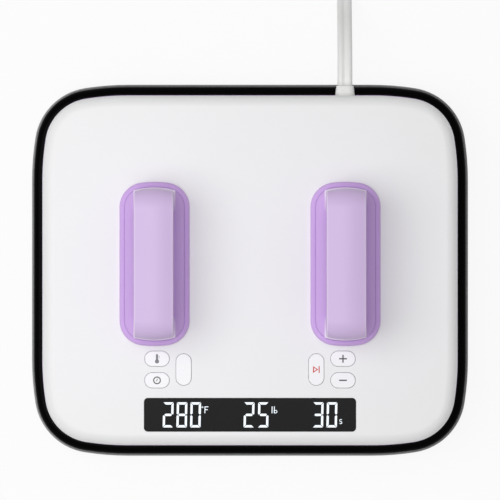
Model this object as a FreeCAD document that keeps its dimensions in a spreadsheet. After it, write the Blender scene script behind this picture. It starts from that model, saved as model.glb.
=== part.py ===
import FreeCAD, Part
import math
import os
import re
import Sketcher

# A handheld heat press on its resting stand, in millimetres.
# X runs along the long side, Y from the display to the cord, Z up from the table under the stand.

SIZES = (
    # The outline seen from above: straight sides, a wide blend arc and a corner arc.
    ("plate_length", "304.8", "12 inch side of the heated plate"),
    ("plate_depth", "254", "10 inch side of the heated plate"),
    ("casing_margin", "17.9", "heated plate to the outside of the stand"),
    ("half_length", "=plate_length / 2 + casing_margin", "centre to the short side of the stand"),
    ("half_depth", "=plate_depth / 2 + casing_margin", "centre to the long side of the stand"),
    ("blend_radius", "217", "blend arc between a side and a corner"),
    ("corner_radius", "46.4", "corner arc of the stand"),
    ("corner_inset", "48.5", "side to the centre of the corner arc"),
    # Heights of the stand.
    ("foot_height", "3", "rubber foot"),
    ("foot_radius", "8", "rubber foot"),
    ("foot_seat", "1", "depth of the foot in the tray"),
    ("foot_inset_x", "42.3", "stand edge to the outer feet"),
    ("foot_x", "=half_length - foot_inset_x", "outer feet"),
    ("foot_inset_y", "40.9", "stand edge to the front and rear feet"),
    ("foot_y", "=half_depth - foot_inset_y", "front and rear feet"),
    ("tray_floor", "2.5", "thickness of the tray floor"),
    ("tray_wall", "1.4", "thickness of the tray wall"),
    ("tray_height", "16", "tray from its underside to its rim"),
    ("liner_thickness", "1", "heat resistant sheet"),
    ("liner_gap", "3", "sheet to the tray wall"),
    ("rest_height", "3.5", "silicone rest"),
    ("rest_width", "10", "silicone rest"),
    ("rest_length", "46", "silicone rest"),
    ("rest_inset_x", "24.4", "plate edge to the outer rests"),
    ("rest_x", "=plate_length / 2 - rest_inset_x", "outer rests"),
    ("rest_inset_y", "31", "plate edge to the front and rear rests"),
    ("rest_y", "=plate_depth / 2 - rest_inset_y", "front and rear rests"),
    # The heated plate and what lies on it.
    ("plate_thickness", "10", "cast plate"),
    ("plate_corner", "20", "corner of the plate"),
    ("element_radius", "3.25", "heating tube"),
    ("element_gap", "0.15", "heating tube to its groove"),
    ("element_bend", "22", "bend of the heating tube"),
    ("element_inset_x", "24.4", "plate edge to the outer runs of the heating tube"),
    ("element_x", "=plate_length / 2 - element_inset_x", "outer runs of the heating tube"),
    ("element_inner_x", "45", "inner runs of the heating tube"),
    ("element_inset_y", "27", "plate edge to the front and rear runs of the heating tube"),
    ("element_y", "=plate_depth / 2 - element_inset_y", "front and rear runs of the heating tube"),
    ("element_inner_y", "45", "inner run of the heating tube"),
    ("element_end_x", "18.5", "end of the heating tube"),
    ("stud_radius", "3.1", "terminal stud"),
    ("stud_height", "12", "terminal stud above the plate"),
    ("wool_thickness", "8", "insulating blanket"),
    ("wool_margin", "3", "edge of the plate to the blanket"),
    ("window_length", "56", "window of the blanket over the terminals"),
    ("window_depth", "50", "window of the blanket over the terminals"),
    ("window_shift", "16", "terminals to the centre of the window"),
    ("window_y", "=element_y - window_shift", "centre of the window"),
    ("slot_length", "46", "slot for the leads in shield and deck"),
    ("slot_depth", "16", "slot for the leads in shield and deck"),
    ("shield_thickness", "1", "reflector sheet"),
    ("post_inset_x", "34.4", "plate edge to the posts that carry the plate"),
    ("post_x", "=plate_length / 2 - post_inset_x", "posts that carry the plate"),
    ("post_inset_y", "43", "plate edge to the posts that carry the plate"),
    ("post_y", "=plate_depth / 2 - post_inset_y", "posts that carry the plate"),
    ("post_radius", "5", "post"),
    ("post_gap", "1", "post above the reflector sheet"),
    ("cell_thickness", "4", "load cell"),
    ("cell_size", "28", "side of the load cell"),
    ("screw_radius", "2", "large screw"),
    ("screw_grip", "5", "screw in the plate"),
    ("head_radius", "4", "large screw head"),
    ("head_height", "3", "large screw head"),
    ("fit", "0.2", "clearance of a piece in its hole"),
    ("sensor_x", "12", "temperature sensor and thermal cut-off"),
    ("sensor_shift", "28", "terminals to the sensors"),
    ("sensor_y", "=element_y - sensor_shift", "temperature sensor and thermal cut-off"),
    ("sensor_width", "10", "temperature sensor and thermal cut-off"),
    ("sensor_depth", "12", "temperature sensor and thermal cut-off"),
    ("sensor_height", "6", "temperature sensor and thermal cut-off"),
    # The black lower housing.
    ("skirt_inset", "1.8", "outline of the lower housing inside the stand"),
    ("skirt_lift", "4", "lower edge of the skirt above the plate face"),
    ("skirt_wall", "2.5", "thickness of the skirt"),
    ("skirt_round", "6", "shoulder of the skirt"),
    ("deck_thickness", "2.5", "deck that carries the works"),
    # The ring and the white cover.
    ("ring_height", "1", "accent ring"),
    ("ring_inset", "9", "outline of the accent ring"),
    ("ring_width", "3.5", "accent ring"),
    ("cover_inset", "9.4", "outline of the top cover"),
    ("cover_height", "25.5", "top cover"),
    ("cover_wall", "2.5", "thickness of the cover"),
    ("cover_round", "8", "upper edge of the cover"),
    ("boss_radius", "3.6", "screw boss of the cover"),
    ("cover_screw_inset_x", "30.3", "stand edge to the corner screws of the cover"),
    ("cover_screw_x", "=half_length - cover_screw_inset_x", "corner screws of the cover"),
    ("cover_screw_inset_y", "32.9", "stand edge to the corner screws of the cover"),
    ("cover_screw_y", "=half_depth - cover_screw_inset_y", "corner screws of the cover"),
    ("side_screw_inset", "18.3", "stand edge to the side screws of the cover"),
    ("side_screw_x", "=half_length - side_screw_inset", "side screws of the cover"),
    ("middle_screw_inset", "15.9", "stand edge to the front and rear screws"),
    ("middle_screw_y", "=half_depth - middle_screw_inset", "front and rear screws of the cover"),
    ("small_screw", "1.5", "radius of a small screw"),
    ("small_head", "3", "radius of a small screw head"),
    ("small_head_height", "2", "height of a small screw head"),
    ("cover_screw_grip", "9", "cover screw above the deck"),
    # The display and its board.
    ("display_length", "164.1", "display window"),
    ("display_depth", "25.9", "display window"),
    ("display_corner", "3", "corner of the display window"),
    ("display_inset", "33.1", "front edge of the stand to the middle of the display"),
    ("display_y", "=display_inset - half_depth", "centre of the display"),
    ("display_thickness", "1.6", "display window"),
    ("display_seat", "1.4", "recess of the display window"),
    ("display_margin", "1.6", "ledge under the display window"),
    ("module_gap", "0.3", "display module under the window"),
    ("board_thickness", "1.6", "circuit board"),
    ("board_drop", "8", "control board under the cover"),
    ("board_length", "196", "control board"),
    ("board_depth", "64", "control board"),
    ("board_shift", "19.8", "control board behind the display"),
    ("board_y", "=display_y + board_shift", "centre of the control board"),
    ("board_screw_x", "92", "control board screws"),
    ("board_screw_y", "25", "control board screws from its centre"),
    ("board_boss", "3.5", "boss of a board screw"),
    ("buzzer_radius", "6", "buzzer"),
    ("buzzer_height", "6", "buzzer"),
    ("buzzer_y", "=board_y + board_depth * 0.28", "buzzer"),
    # The six buttons.
    ("key_x", "72", "outer buttons"),
    ("key_length", "19.1", "outer button"),
    ("key_width", "11.9", "outer button"),
    ("key_shift", "26.7", "lower outer buttons behind the display"),
    ("lower_key_y", "=display_y + key_shift", "lower outer buttons"),
    ("key_pitch", "16.7", "lower to upper outer buttons"),
    ("upper_key_y", "=lower_key_y + key_pitch", "upper outer buttons"),
    ("long_key_x", "51.35", "inner buttons"),
    ("long_key_y", "=lower_key_y + key_pitch / 2", "inner buttons"),
    ("long_key_length", "24.5", "inner button"),
    ("long_key_width", "11.9", "inner button"),
    ("key_rise", "0.5", "button above the cover"),
    ("key_gap", "0.3", "button to its hole"),
    ("key_flange", "1", "flange of the button around its cap"),
    ("key_flange_height", "1", "flange of the button"),
    ("key_slack", "0.1", "flange under the cover"),
    ("key_travel", "0.8", "travel of a button"),
    ("key_stem", "2", "radius of the button stem"),
    ("switch_size", "6", "side of a switch"),
    ("switch_height", "3.5", "body of a switch"),
    ("plunger_height", "0.7", "plunger of a switch"),
    ("plunger_radius", "1.7", "plunger of a switch"),
    ("stem_gap", "0.15", "stem to plunger at full travel"),
    # The two handles.
    ("handle_x", "73.9", "centre of a handle"),
    ("handle_y", "5", "centre of a handle"),
    ("collar_width", "54.1", "collar of a handle"),
    ("collar_length", "127", "collar of a handle"),
    ("collar_corner", "19.2", "corner of the collar"),
    ("collar_bow", "79", "bowed ends of the collar"),
    ("collar_height", "4.5", "collar of a handle"),
    ("collar_band", "3.9", "width of the collar"),
    ("collar_round", "2", "upper edge of the collar"),
    ("pedestal_height", "8", "pedestal of a handle"),
    ("pedestal_round", "6.5", "upper edge of the pedestal"),
    ("pedestal_seat", "1.5", "pedestal under the handle's base"),
    ("grip_width", "30.2", "strap of the handle"),
    ("grip_length", "116", "strap of the handle"),
    ("grip_height", "52", "strap above the pedestal"),
    ("grip_depth", "17", "height of the strap"),
    ("grip_bend", "20", "outer bend of the strap"),
    ("grip_round", "2", "long edges of the strap"),
    ("grip_corner", "2", "upright corners of the handle"),
    ("grip_bow", "60", "bowed ends of the handle"),
    ("pillar", "16", "pillar of the handle along Y"),
    ("opening_bend", "12", "inner bend of the strap"),
    ("pad_thickness", "3", "soft pad under the strap"),
    ("pad_width", "22", "soft pad under the strap"),
    ("brace_thickness", "2", "steel brace under the cover"),
    ("brace_width", "34", "steel brace under the cover"),
    ("brace_length", "118", "steel brace under the cover"),
    ("handle_screw_x", "8", "handle screws from the centre line"),
    ("handle_screw_y", "50", "handle screws from the middle"),
    ("handle_screw_grip", "20", "handle screw in a pillar"),
    # The power electronics on the deck.
    ("power_shift", "70", "terminals to the centre of the power board"),
    ("power_y", "=element_y - power_shift", "centre of the power board"),
    ("power_length", "90", "power board along X"),
    ("power_depth", "110", "power board along Y"),
    ("power_lift", "5", "power board above the deck"),
    ("power_screw_x", "40", "power board screws"),
    ("power_screw_y", "50", "power board screws from its centre"),
    ("ribbon_width", "16", "ribbon cable"),
    ("ribbon_thickness", "1", "ribbon cable"),
    ("ribbon_overlap", "3", "ribbon cable under the control board"),
    # The strain relief and the cord.
    ("cord_x", "73.8", "centre of the cord"),
    ("cord_width", "11.5", "flat cord"),
    ("cord_thickness", "5.7", "flat cord"),
    ("cord_exit", "44", "height of the cord where it leaves the cover"),
    ("boot_width", "15.5", "strain relief at the cover"),
    ("boot_height", "11", "strain relief at the cover"),
    ("boot_tip_width", "13.5", "strain relief at its end"),
    ("boot_tip_height", "8", "strain relief at its end"),
    ("boot_short", "1.5", "end of the strain relief inside the stand edge"),
    ("boot_end_y", "=half_depth - boot_short", "end of the strain relief"),
    ("boot_flange", "2", "inner flange around the strain relief"),
    ("boot_flange_depth", "3", "inner flange of the strain relief"),
    ("lead_radius", "1.5", "mains lead inside"),
    ("thin_lead", "0.9", "sensor lead"),
    ("coil_radius", "70", "outer turn of the coiled cord"),
    ("coil_distance", "166.6", "rear of the stand to the centre of the coil"),
    ("coil_y", "=half_depth + coil_distance", "centre of the coil"),
    ("coil_pitch", "6.3", "turn to turn"),
    ("coil_layer", "12.1", "layer to layer"),
    ("coil_dip", "3.3", "inner turn drawn in where the coil climbs"),
    ("coil_turns", "4.25", "turns of the coil"),
    ("tail_over", "28", "end of the cord that still lies on the coil"),
    ("tail_drop", "62", "end of the cord that comes down to the table"),
    ("twist_length", "54", "straight stretch where the flat cord turns on edge"),
    ("coil_lift", "1.3", "coil above the table, on its ties"),
    ("tie_thickness", "1", "tie around the coil"),
    ("tie_width", "12", "tie around the coil"),
    ("tie_slack", "2", "tie around the turns"),
    ("plug_length", "32", "plug"),
    ("plug_round", "4", "edges of the plug"),
    ("plug_width", "24", "plug"),
    ("plug_height", "18", "plug"),
    ("blade_length", "17", "plug blade"),
    ("blade_width", "6.4", "plug blade"),
    ("blade_thickness", "1.5", "plug blade"),
    ("blade_spacing", "12.7", "blade to blade"),
    # Levels and places that follow from the sizes above.
    ("tray_under", "=foot_height - foot_seat", "underside of the tray"),
    ("floor_top", "=tray_under + tray_floor", "floor of the tray"),
    ("liner_top", "=floor_top + liner_thickness", "top of the sheet"),
    ("plate_face", "=liner_top + rest_height", "working face of the plate"),
    ("plate_top", "=plate_face + plate_thickness", "top of the plate"),
    ("element_level", "=plate_top - element_radius - element_gap", "axis of the heating tube"),
    ("wool_top", "=plate_top + wool_thickness", "top of the blanket"),
    ("shield_top", "=wool_top + shield_thickness", "top of the reflector sheet"),
    ("post_top", "=shield_top + post_gap", "top of the posts"),
    ("deck_under", "=post_top + cell_thickness", "underside of the deck"),
    ("deck_top", "=deck_under + deck_thickness", "top of the deck"),
    ("skirt_base", "=plate_face + skirt_lift", "lower edge of the skirt"),
    ("cover_base", "=deck_top + ring_height", "lower edge of the cover"),
    ("cover_top", "=cover_base + cover_height", "top of the cover"),
    ("cover_ceiling", "=cover_top - cover_wall", "inside of the cover"),
    ("board_top", "=cover_ceiling - board_drop", "top of the control board"),
    ("switch_top", "=board_top + switch_height + plunger_height", "top of a plunger"),
    ("pedestal_top", "=cover_top + pedestal_height", "top of the pedestal"),
    ("grip_top", "=pedestal_top + grip_height", "top of the strap"),
    ("opening_top", "=grip_top - grip_depth", "underside of the strap"),
    ("opening_length", "=grip_length - 2 * pillar", "clear length between the pillars"),
    ("power_board_top", "=deck_top + power_lift + board_thickness", "top of the power board"),
    ("cover_side_y", "=half_depth - cover_inset", "rear face of the cover"),
)

# What stands on the power board: its place, its length along X, its depth along Y and its height.
COMPONENTS = (
    ("transformer", "-20", "=power_y - 25", "36", "30", "15"),
    ("relay", "24", "=power_y - 30", "20", "16", "15"),
    ("triac_heatsink", "22", "=power_y + 4", "34", "12", "14"),
    ("fuse", "-24", "=power_y + 22", "26", "9", "8"),
    ("capacitor", "16", "=power_y + 26", "22", "8", "13"),
    ("terminal_block", "0", "=power_y + 46", "34", "11", "12"),
)
PARTS = ("x", "y", "length", "depth", "height")
CELLS = SIZES + tuple(
    (f"{piece[0]}_{part}", number, f"{part} of the {piece[0]}")
    for piece in COMPONENTS
    for part, number in zip(PARTS, piece[1:])
)

document = FreeCAD.newDocument("heat_press")
sheet = document.addObject("Spreadsheet::Sheet", "sizes")
for row, (alias, content, meaning) in enumerate(CELLS, start=1):
    sheet.set(f"A{row}", meaning)
    sheet.set(f"B{row}", content)
    sheet.setAlias(f"B{row}", alias)
document.recompute()
ALIASES = {alias for alias, content, meaning in CELLS}


def value(expression):
    """The number that an expression of the sheet's names gives."""
    return float(sheet.evalExpression(expression))


def bind(item, name, expression):
    """Ties a property or constraint to an expression of the sheet's names."""
    linked = re.sub(r"[a-z]\w*", lambda m: "sizes." + m[0] if m[0] in ALIASES else m[0], expression)
    item.setExpression(name, linked)


def new_body(label):
    """A sub-part whose label names its file."""
    body = document.addObject("PartDesign::Body", label)
    body.Label = label
    return body


def new_sketch(body, plane, level="0"):
    """A sketch on one of the body's own origin planes, moved along its normal to a level."""
    sketch = body.newObject("Sketcher::SketchObject", body.Label + "_sketch")
    origin_plane = next(f for f in body.Origin.OriginFeatures if f.Role == plane)
    sketch.AttachmentSupport = [(origin_plane, "")]
    sketch.MapMode = "FlatFace"
    bind(sketch, "AttachmentOffset.Base.z", level)
    return sketch


def rule(kind, *target):
    """A constraint without a size, such as Horizontal or Tangent."""
    return Sketcher.Constraint(kind, *target)


def from_origin(axis, geometry, point, size):
    """A size that holds a point at a distance from the origin along X or Y."""
    return "Distance" + axis, (-1, 1, geometry, point), size


def hold(sketch, rules, sizes):
    """Adds constraints in one step and ties each size to its expression."""
    first = sketch.ConstraintCount + len(rules)
    sized = [Sketcher.Constraint(kind, *target, value(size)) for kind, target, size in sizes]
    sketch.addConstraint(rules + sized)
    for number, (kind, target, size) in enumerate(sizes, start=first):
        bind(sketch, f"Constraints[{number}]", size)


def circle(sketch, x, y, radius):
    """A circle about a place."""
    centre = FreeCAD.Vector(value(x), value(y), 0)
    index = sketch.addGeometry(Part.Circle(centre, FreeCAD.Vector(0, 0, 1), value(radius)))
    hold(sketch, [], [("Radius", (index,), radius), from_origin("X", index, 3, x),
                      from_origin("Y", index, 3, y)])


def chain(sketch, pieces):
    """Adds lines and arcs that run on tangent to each other in a closed loop."""
    first = sketch.GeometryCount
    sketch.addGeometry(pieces)
    count = len(pieces)
    joins = [rule("Tangent", first + step, 2, first + (step + 1) % count, 1) for step in range(count)]
    return first, joins


def arc(x, y, radius, start, end):
    """An arc from one angle to another, in degrees."""
    round_line = Part.Circle(FreeCAD.Vector(x, y, 0), FreeCAD.Vector(0, 0, 1), radius)
    return Part.ArcOfCircle(round_line, math.radians(start), math.radians(end))


def line(x1, y1, x2, y2):
    """A straight line between two places."""
    return Part.LineSegment(FreeCAD.Vector(x1, y1, 0), FreeCAD.Vector(x2, y2, 0))


def rounded(sketch, x, y, length, depth, radius):
    """A rectangle with round corners about a place."""
    cx, cy, r = value(x), value(y), value(radius)
    a, b = value(length) / 2, value(depth) / 2
    first, rules = chain(sketch, [
        line(cx + a, cy - b + r, cx + a, cy + b - r),
        arc(cx + a - r, cy + b - r, r, 0, 90),
        line(cx + a - r, cy + b, cx - a + r, cy + b),
        arc(cx - a + r, cy + b - r, r, 90, 180),
        line(cx - a, cy + b - r, cx - a, cy - b + r),
        arc(cx - a + r, cy - b + r, r, 180, 270),
        line(cx - a + r, cy - b, cx + a - r, cy - b),
        arc(cx + a - r, cy - b + r, r, 270, 360),
    ])
    rules += [rule(kind, side)
              for side, kind in zip(range(first, first + 8, 2), ("Vertical", "Horizontal") * 2)]
    rules += [rule("Equal", first + 1, corner) for corner in range(first + 3, first + 8, 2)]
    hold(sketch, rules, [
        ("Radius", (first + 1,), radius),
        from_origin("X", first, 1, f"({x}) + ({length}) / 2"),
        from_origin("Y", first + 2, 1, f"({y}) + ({depth}) / 2"),
        from_origin("X", first + 4, 1, f"({x}) - ({length}) / 2"),
        from_origin("Y", first + 6, 1, f"({y}) - ({depth}) / 2"),
    ])


def bowed(sketch, x, y, width, length, corner, bow):
    """An upright rounded rectangle whose ends are shallow arcs, about a place."""
    cx, cy, a, b = value(x), value(y), value(width) / 2, value(length) / 2
    r, wide = value(corner), value(bow)
    end = b - wide
    side = end + math.sqrt((wide - r) ** 2 - (a - r) ** 2)
    turn = math.degrees(math.acos((a - r) / (wide - r)))
    first, rules = chain(sketch, [
        line(cx + a, cy - side, cx + a, cy + side),
        arc(cx + a - r, cy + side, r, 0, turn),
        arc(cx, cy + end, wide, turn, 180 - turn),
        arc(cx - a + r, cy + side, r, 180 - turn, 180),
        line(cx - a, cy + side, cx - a, cy - side),
        arc(cx - a + r, cy - side, r, 180, 180 + turn),
        arc(cx, cy - end, wide, 180 + turn, 360 - turn),
        arc(cx + a - r, cy - side, r, 360 - turn, 360),
    ])
    rules += [rule("Vertical", first), rule("Vertical", first + 4), rule("Equal", first + 2, first + 6)]
    rules += [rule("Equal", first + 1, other) for other in (first + 3, first + 5, first + 7)]
    hold(sketch, rules, [
        ("Radius", (first + 1,), corner),
        ("Radius", (first + 2,), bow),
        from_origin("X", first, 1, f"({x}) + ({width}) / 2"),
        from_origin("X", first + 4, 1, f"({x}) - ({width}) / 2"),
        from_origin("X", first + 2, 3, x),
        from_origin("X", first + 6, 3, x),
        from_origin("Y", first + 2, 3, f"({y}) + ({length}) / 2 - ({bow})"),
        from_origin("Y", first + 6, 3, f"({y}) - ({length}) / 2 + ({bow})"),
    ])


def drawn_in(inset, width, length, corner, bow):
    """The sizes of a bowed outline drawn in by an inset."""
    return (f"{width} - 2 * ({inset})", f"{length} - 2 * ({inset})", f"{corner} - ({inset})",
            f"{bow} - ({inset})")


def between(sketch, place, plan):
    """The space round a handle's plan, out to a frame past it."""
    bowed(sketch, *place, *plan)
    rounded(sketch, *place, "collar_width", "collar_length", "collar_corner")


def pill(sketch, x, y, length, width, upright=False):
    """A slot with half round ends, along X or upright along Y."""
    cx, cy, r = value(x), value(y), value(width) / 2
    run = value(length) / 2 - r
    if upright:
        first, rules = chain(sketch, [
            line(cx + r, cy - run, cx + r, cy + run),
            arc(cx, cy + run, r, 0, 180),
            line(cx - r, cy + run, cx - r, cy - run),
            arc(cx, cy - run, r, 180, 360),
        ])
    else:
        first, rules = chain(sketch, [
            line(cx + run, cy + r, cx - run, cy + r),
            arc(cx - run, cy, r, 90, 270),
            line(cx - run, cy - r, cx + run, cy - r),
            arc(cx + run, cy, r, 270, 450),
        ])
    along, aside = ("Y", "X") if upright else ("X", "Y")
    middle, beside = (y, x) if upright else (x, y)
    far, near = (first + 1, first + 3) if upright else (first + 3, first + 1)
    rules += [rule("Vertical" if upright else "Horizontal", first),
              rule("Equal", first + 1, first + 3)]
    hold(sketch, rules, [
        ("Radius", (first + 1,), f"({width}) / 2"),
        from_origin(aside, far, 3, beside),
        from_origin(along, far, 3, f"({middle}) + (({length}) - ({width})) / 2"),
        from_origin(along, near, 3, f"({middle}) - (({length}) - ({width})) / 2"),
    ])


def outline(sketch, inset):
    """The outline of the press, drawn in from the stand's by an inset."""
    a, b = value(f"half_length - ({inset})"), value(f"half_depth - ({inset})")
    blend, corner = value(f"blend_radius - ({inset})"), value(f"corner_radius - ({inset})")
    x, y = value("half_length - corner_inset"), value("half_depth - corner_inset")
    reach = blend - corner
    over = blend - value(f"corner_inset - ({inset})")
    back = math.sqrt(reach * reach - over * over)
    turn = math.degrees(math.asin(back / reach))
    pieces = []
    for quarter, (sx, sy) in enumerate(((1, 1), (-1, 1), (-1, -1), (1, -1))):
        start = 90 * quarter
        upright = sx * sy > 0
        side_arc = (sx * (a - blend), sy * (y - back))
        end_arc = (sx * (x - back), sy * (b - blend))
        first_arc, last_arc = (side_arc, end_arc) if upright else (end_arc, side_arc)
        if quarter in (0, 2):
            pieces.append(line(sx * a, -sy * (y - back), sx * a, sy * (y - back)))
        else:
            pieces.append(line(-sx * (x - back), sy * b, sx * (x - back), sy * b))
        pieces.append(arc(*first_arc, blend, start, start + turn))
        pieces.append(arc(sx * x, sy * y, corner, start + turn, start + 90 - turn))
        pieces.append(arc(*last_arc, blend, start + 90 - turn, start + 90))
    first, rules = chain(sketch, pieces)
    sides = range(first, first + 16, 4)
    rules += [rule(kind, side) for side, kind in zip(sides, ("Vertical", "Horizontal") * 2)]
    rules += [rule("Equal", first + 1, side + 3) for side in sides]
    rules += [rule("Equal", first + turn, side + turn) for side in sides[1:] for turn in (1, 2)]
    sizes = [
        ("Radius", (first + 1,), f"blend_radius - ({inset})"),
        ("Radius", (first + 2,), f"corner_radius - ({inset})"),
        from_origin("X", first, 1, f"half_length - ({inset})"),
        from_origin("Y", first + 4, 1, f"half_depth - ({inset})"),
        from_origin("X", first + 8, 1, f"({inset}) - half_length"),
        from_origin("Y", first + 12, 1, f"({inset}) - half_depth"),
    ]
    for side, (sx, sy) in zip(sides, ((1, 1), (-1, 1), (-1, -1), (1, -1))):
        sizes.append(from_origin("X", side + 2, 3, f"{sx} * (half_length - corner_inset)"))
        sizes.append(from_origin("Y", side + 2, 3, f"{sy} * (half_depth - corner_inset)"))
    hold(sketch, rules, sizes)


def layer(body, base, height, draw):
    """Adds a layer of material: draws on the level plane at a base and pads it upward."""
    sketch = new_sketch(body, "XY_Plane", base)
    draw(sketch)
    feature = body.newObject("PartDesign::Pad", body.Label + "_layer")
    feature.Profile = sketch
    bind(feature, "Length", height)
    document.recompute()
    return feature


def cut(body, top, depth, draw):
    """Cuts downward from a level and checks that material is gone."""
    before = body.Shape.Volume
    sketch = new_sketch(body, "XY_Plane", top)
    draw(sketch)
    feature = body.newObject("PartDesign::Pocket", body.Label + "_cut")
    feature.Profile = sketch
    bind(feature, "Length", depth)
    document.recompute()
    if not feature.Shape.Volume < before:
        raise ValueError(f"a cut in {body.Label} removes nothing")
    return feature


def soften(body, kind, size, wanted):
    """Rounds or bevels the edges of the body's last feature that a test picks."""
    base = body.Tip
    names = [f"Edge{n}" for n, edge in enumerate(base.Shape.Edges, start=1) if wanted(edge)]
    if not names:
        raise ValueError(f"{body.Label} has no edge to soften")
    feature = body.newObject("PartDesign::" + kind, body.Label + "_edge")
    feature.Base = (base, names)
    bind(feature, "Radius" if kind == "Fillet" else "Size", size)
    document.recompute()
    return feature


def level_edge(z):
    """A test for edges that lie level at a height."""
    return lambda edge: edge.BoundBox.ZLength < 1e-6 and abs(edge.BoundBox.ZMin - z) < 1e-6


def each(shape, places, *sizes):
    """Draws the same shape at several places."""
    def draw(sketch):
        for x, y in places:
            shape(sketch, x, y, *sizes)
    return draw


def corners(x, y):
    """Four places about the middle."""
    return [(x, y), (f"-{x}", y), (f"-{x}", f"-{y}"), (x, f"-{y}")]


def fasteners(label, places, shank, shank_base, shank_length, head, head_base, head_height):
    """A set of identical screws, one solid each."""
    body = new_body(label)
    layer(body, shank_base, shank_length, each(circle, places, shank))
    layer(body, head_base, head_height, each(circle, places, head))
    return body


def layer_y(body, start, length, draw):
    """Adds a layer of material that runs from an upright plane toward the rear."""
    sketch = new_sketch(body, "XZ_Plane", f"-({start})")
    draw(sketch)
    feature = body.newObject("PartDesign::Pad", body.Label + "_layer")
    feature.Profile = sketch
    feature.Reversed = True
    bind(feature, "Length", length)
    document.recompute()
    return feature


def across(body, middle, width, draw):
    """Adds a side profile, drawn on an upright plane along Y, to both sides of it."""
    sketch = new_sketch(body, "YZ_Plane", middle)
    draw(sketch)
    feature = body.newObject("PartDesign::Pad", body.Label + "_layer")
    feature.Profile = sketch
    feature.Midplane = True
    bind(feature, "Length", width)
    document.recompute()
    return feature


def strap(sketch, middle, base, half_outer, top, bend, half_inner, under, inner_bend):
    """The side of a bridge: two pillars and the strap between them."""
    m, z0 = value(middle), value(base)
    a, z1, r1 = value(half_outer), value(top), value(bend)
    b, z2, r2 = value(half_inner), value(under), value(inner_bend)
    shapes = [
        line(m + a, z0, m + a, z1 - r1),
        arc(m + a - r1, z1 - r1, r1, 0, 90),
        line(m + a - r1, z1, m - a + r1, z1),
        arc(m - a + r1, z1 - r1, r1, 90, 180),
        line(m - a, z1 - r1, m - a, z0),
        line(m - a, z0, m - b, z0),
        line(m - b, z0, m - b, z2 - r2),
        arc(m - b + r2, z2 - r2, r2, 90, 180),
        line(m - b + r2, z2, m + b - r2, z2),
        arc(m + b - r2, z2 - r2, r2, 0, 90),
        line(m + b, z2 - r2, m + b, z0),
        line(m + b, z0, m + a, z0),
    ]
    sketch.addGeometry(shapes)
    ends = ((0, 2, 1, 1), (1, 2, 2, 1), (2, 2, 3, 1), (3, 2, 4, 1),
            (6, 2, 7, 2), (7, 1, 8, 1), (8, 2, 9, 2), (9, 1, 10, 1))
    rules = [rule("Tangent", *joined) for joined in ends]
    rules += [rule("Coincident", *joined)
              for joined in ((4, 2, 5, 1), (5, 2, 6, 1), (10, 2, 11, 1), (11, 2, 0, 1))]
    rules += [rule("Vertical", upright) for upright in (0, 4, 6, 10)]
    rules += [rule("Horizontal", flat) for flat in (2, 5, 8, 11)]
    rules += [rule("Equal", 1, 3), rule("Equal", 7, 9)]
    hold(sketch, rules, [
        ("Radius", (1,), bend),
        ("Radius", (7,), inner_bend),
        from_origin("X", 0, 1, f"({middle}) + ({half_outer})"),
        from_origin("X", 4, 1, f"({middle}) - ({half_outer})"),
        from_origin("X", 6, 1, f"({middle}) - ({half_inner})"),
        from_origin("X", 10, 1, f"({middle}) + ({half_inner})"),
        from_origin("Y", 2, 1, top),
        from_origin("Y", 8, 1, under),
        from_origin("Y", 5, 1, base),
        from_origin("Y", 11, 1, base),
    ])


def element_route(body, end):
    """The route of the heating tube: two long loops with both ends at the rear."""
    sketch = new_sketch(body, "XY_Plane", "element_level")
    stops = [(f"-({end})", "element_y"), ("-element_x", "element_y"), ("-element_x", "-element_y"),
             ("-element_inner_x", "-element_y"), ("-element_inner_x", "element_inner_y"),
             ("element_inner_x", "element_inner_y"), ("element_inner_x", "-element_y"),
             ("element_x", "-element_y"), ("element_x", "element_y"), (end, "element_y")]
    points = [FreeCAD.Vector(value(x), value(y), 0) for x, y in stops]
    bend = value("element_bend")
    here = points[0]
    shapes, rules, last_end = [], [], None
    for before, corner, after in zip(points, points[1:], points[2:]):
        into, out = (corner - before).normalize(), (after - corner).normalize()
        start, finish = corner - into * bend, corner + out * bend
        centre = start + out * bend
        left = into.cross(out).z > 0
        first_end, (enter, leave) = (start, (1, 2)) if left else (finish, (2, 1))
        angle = math.degrees(math.atan2((first_end - centre).y, (first_end - centre).x))
        number = len(shapes)
        shapes += [Part.LineSegment(here, start), arc(centre.x, centre.y, bend, angle, angle + 90)]
        if last_end:
            rules += [rule("Tangent", *last_end, number, 1), rule("Equal", 1, number + 1)]
        rules.append(rule("Tangent", number, 2, number + 1, enter))
        last_end = (number + 1, leave)
        here = finish
    last = len(shapes)
    shapes.append(Part.LineSegment(here, points[-1]))
    rules.append(rule("Tangent", *last_end, last, 1))
    sizes = [("Radius", (1,), "element_bend"), from_origin("X", 0, 1, stops[0][0]),
             from_origin("X", last, 2, stops[-1][0])]
    for number, (x, y) in enumerate(stops[1:]):
        level = number % 2 == 0
        rules.append(rule("Horizontal" if level else "Vertical", 2 * number))
        sizes.append(from_origin("Y", 2 * number, 1, y) if level
                     else from_origin("X", 2 * number, 1, x))
    sketch.addGeometry(shapes)
    hold(sketch, rules, sizes)
    document.recompute()
    return sketch


def follow(body, kind, profile, spine):
    """Runs a profile along a spine, adding or taking away."""
    feature = body.newObject("PartDesign::" + kind, body.Label + "_pipe")
    feature.Profile = profile
    feature.Spine = spine
    document.recompute()
    return feature


# The stand: a shallow tray on six feet, with a heat resistant sheet and silicone rests.

FOOT_PLACES = corners("foot_x", "foot_y") + [("0", "foot_y"), ("0", "-foot_y")]
REST_PLACES = corners("rest_x", "rest_y") + [("0", "rest_y"), ("0", "-rest_y")]


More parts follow.
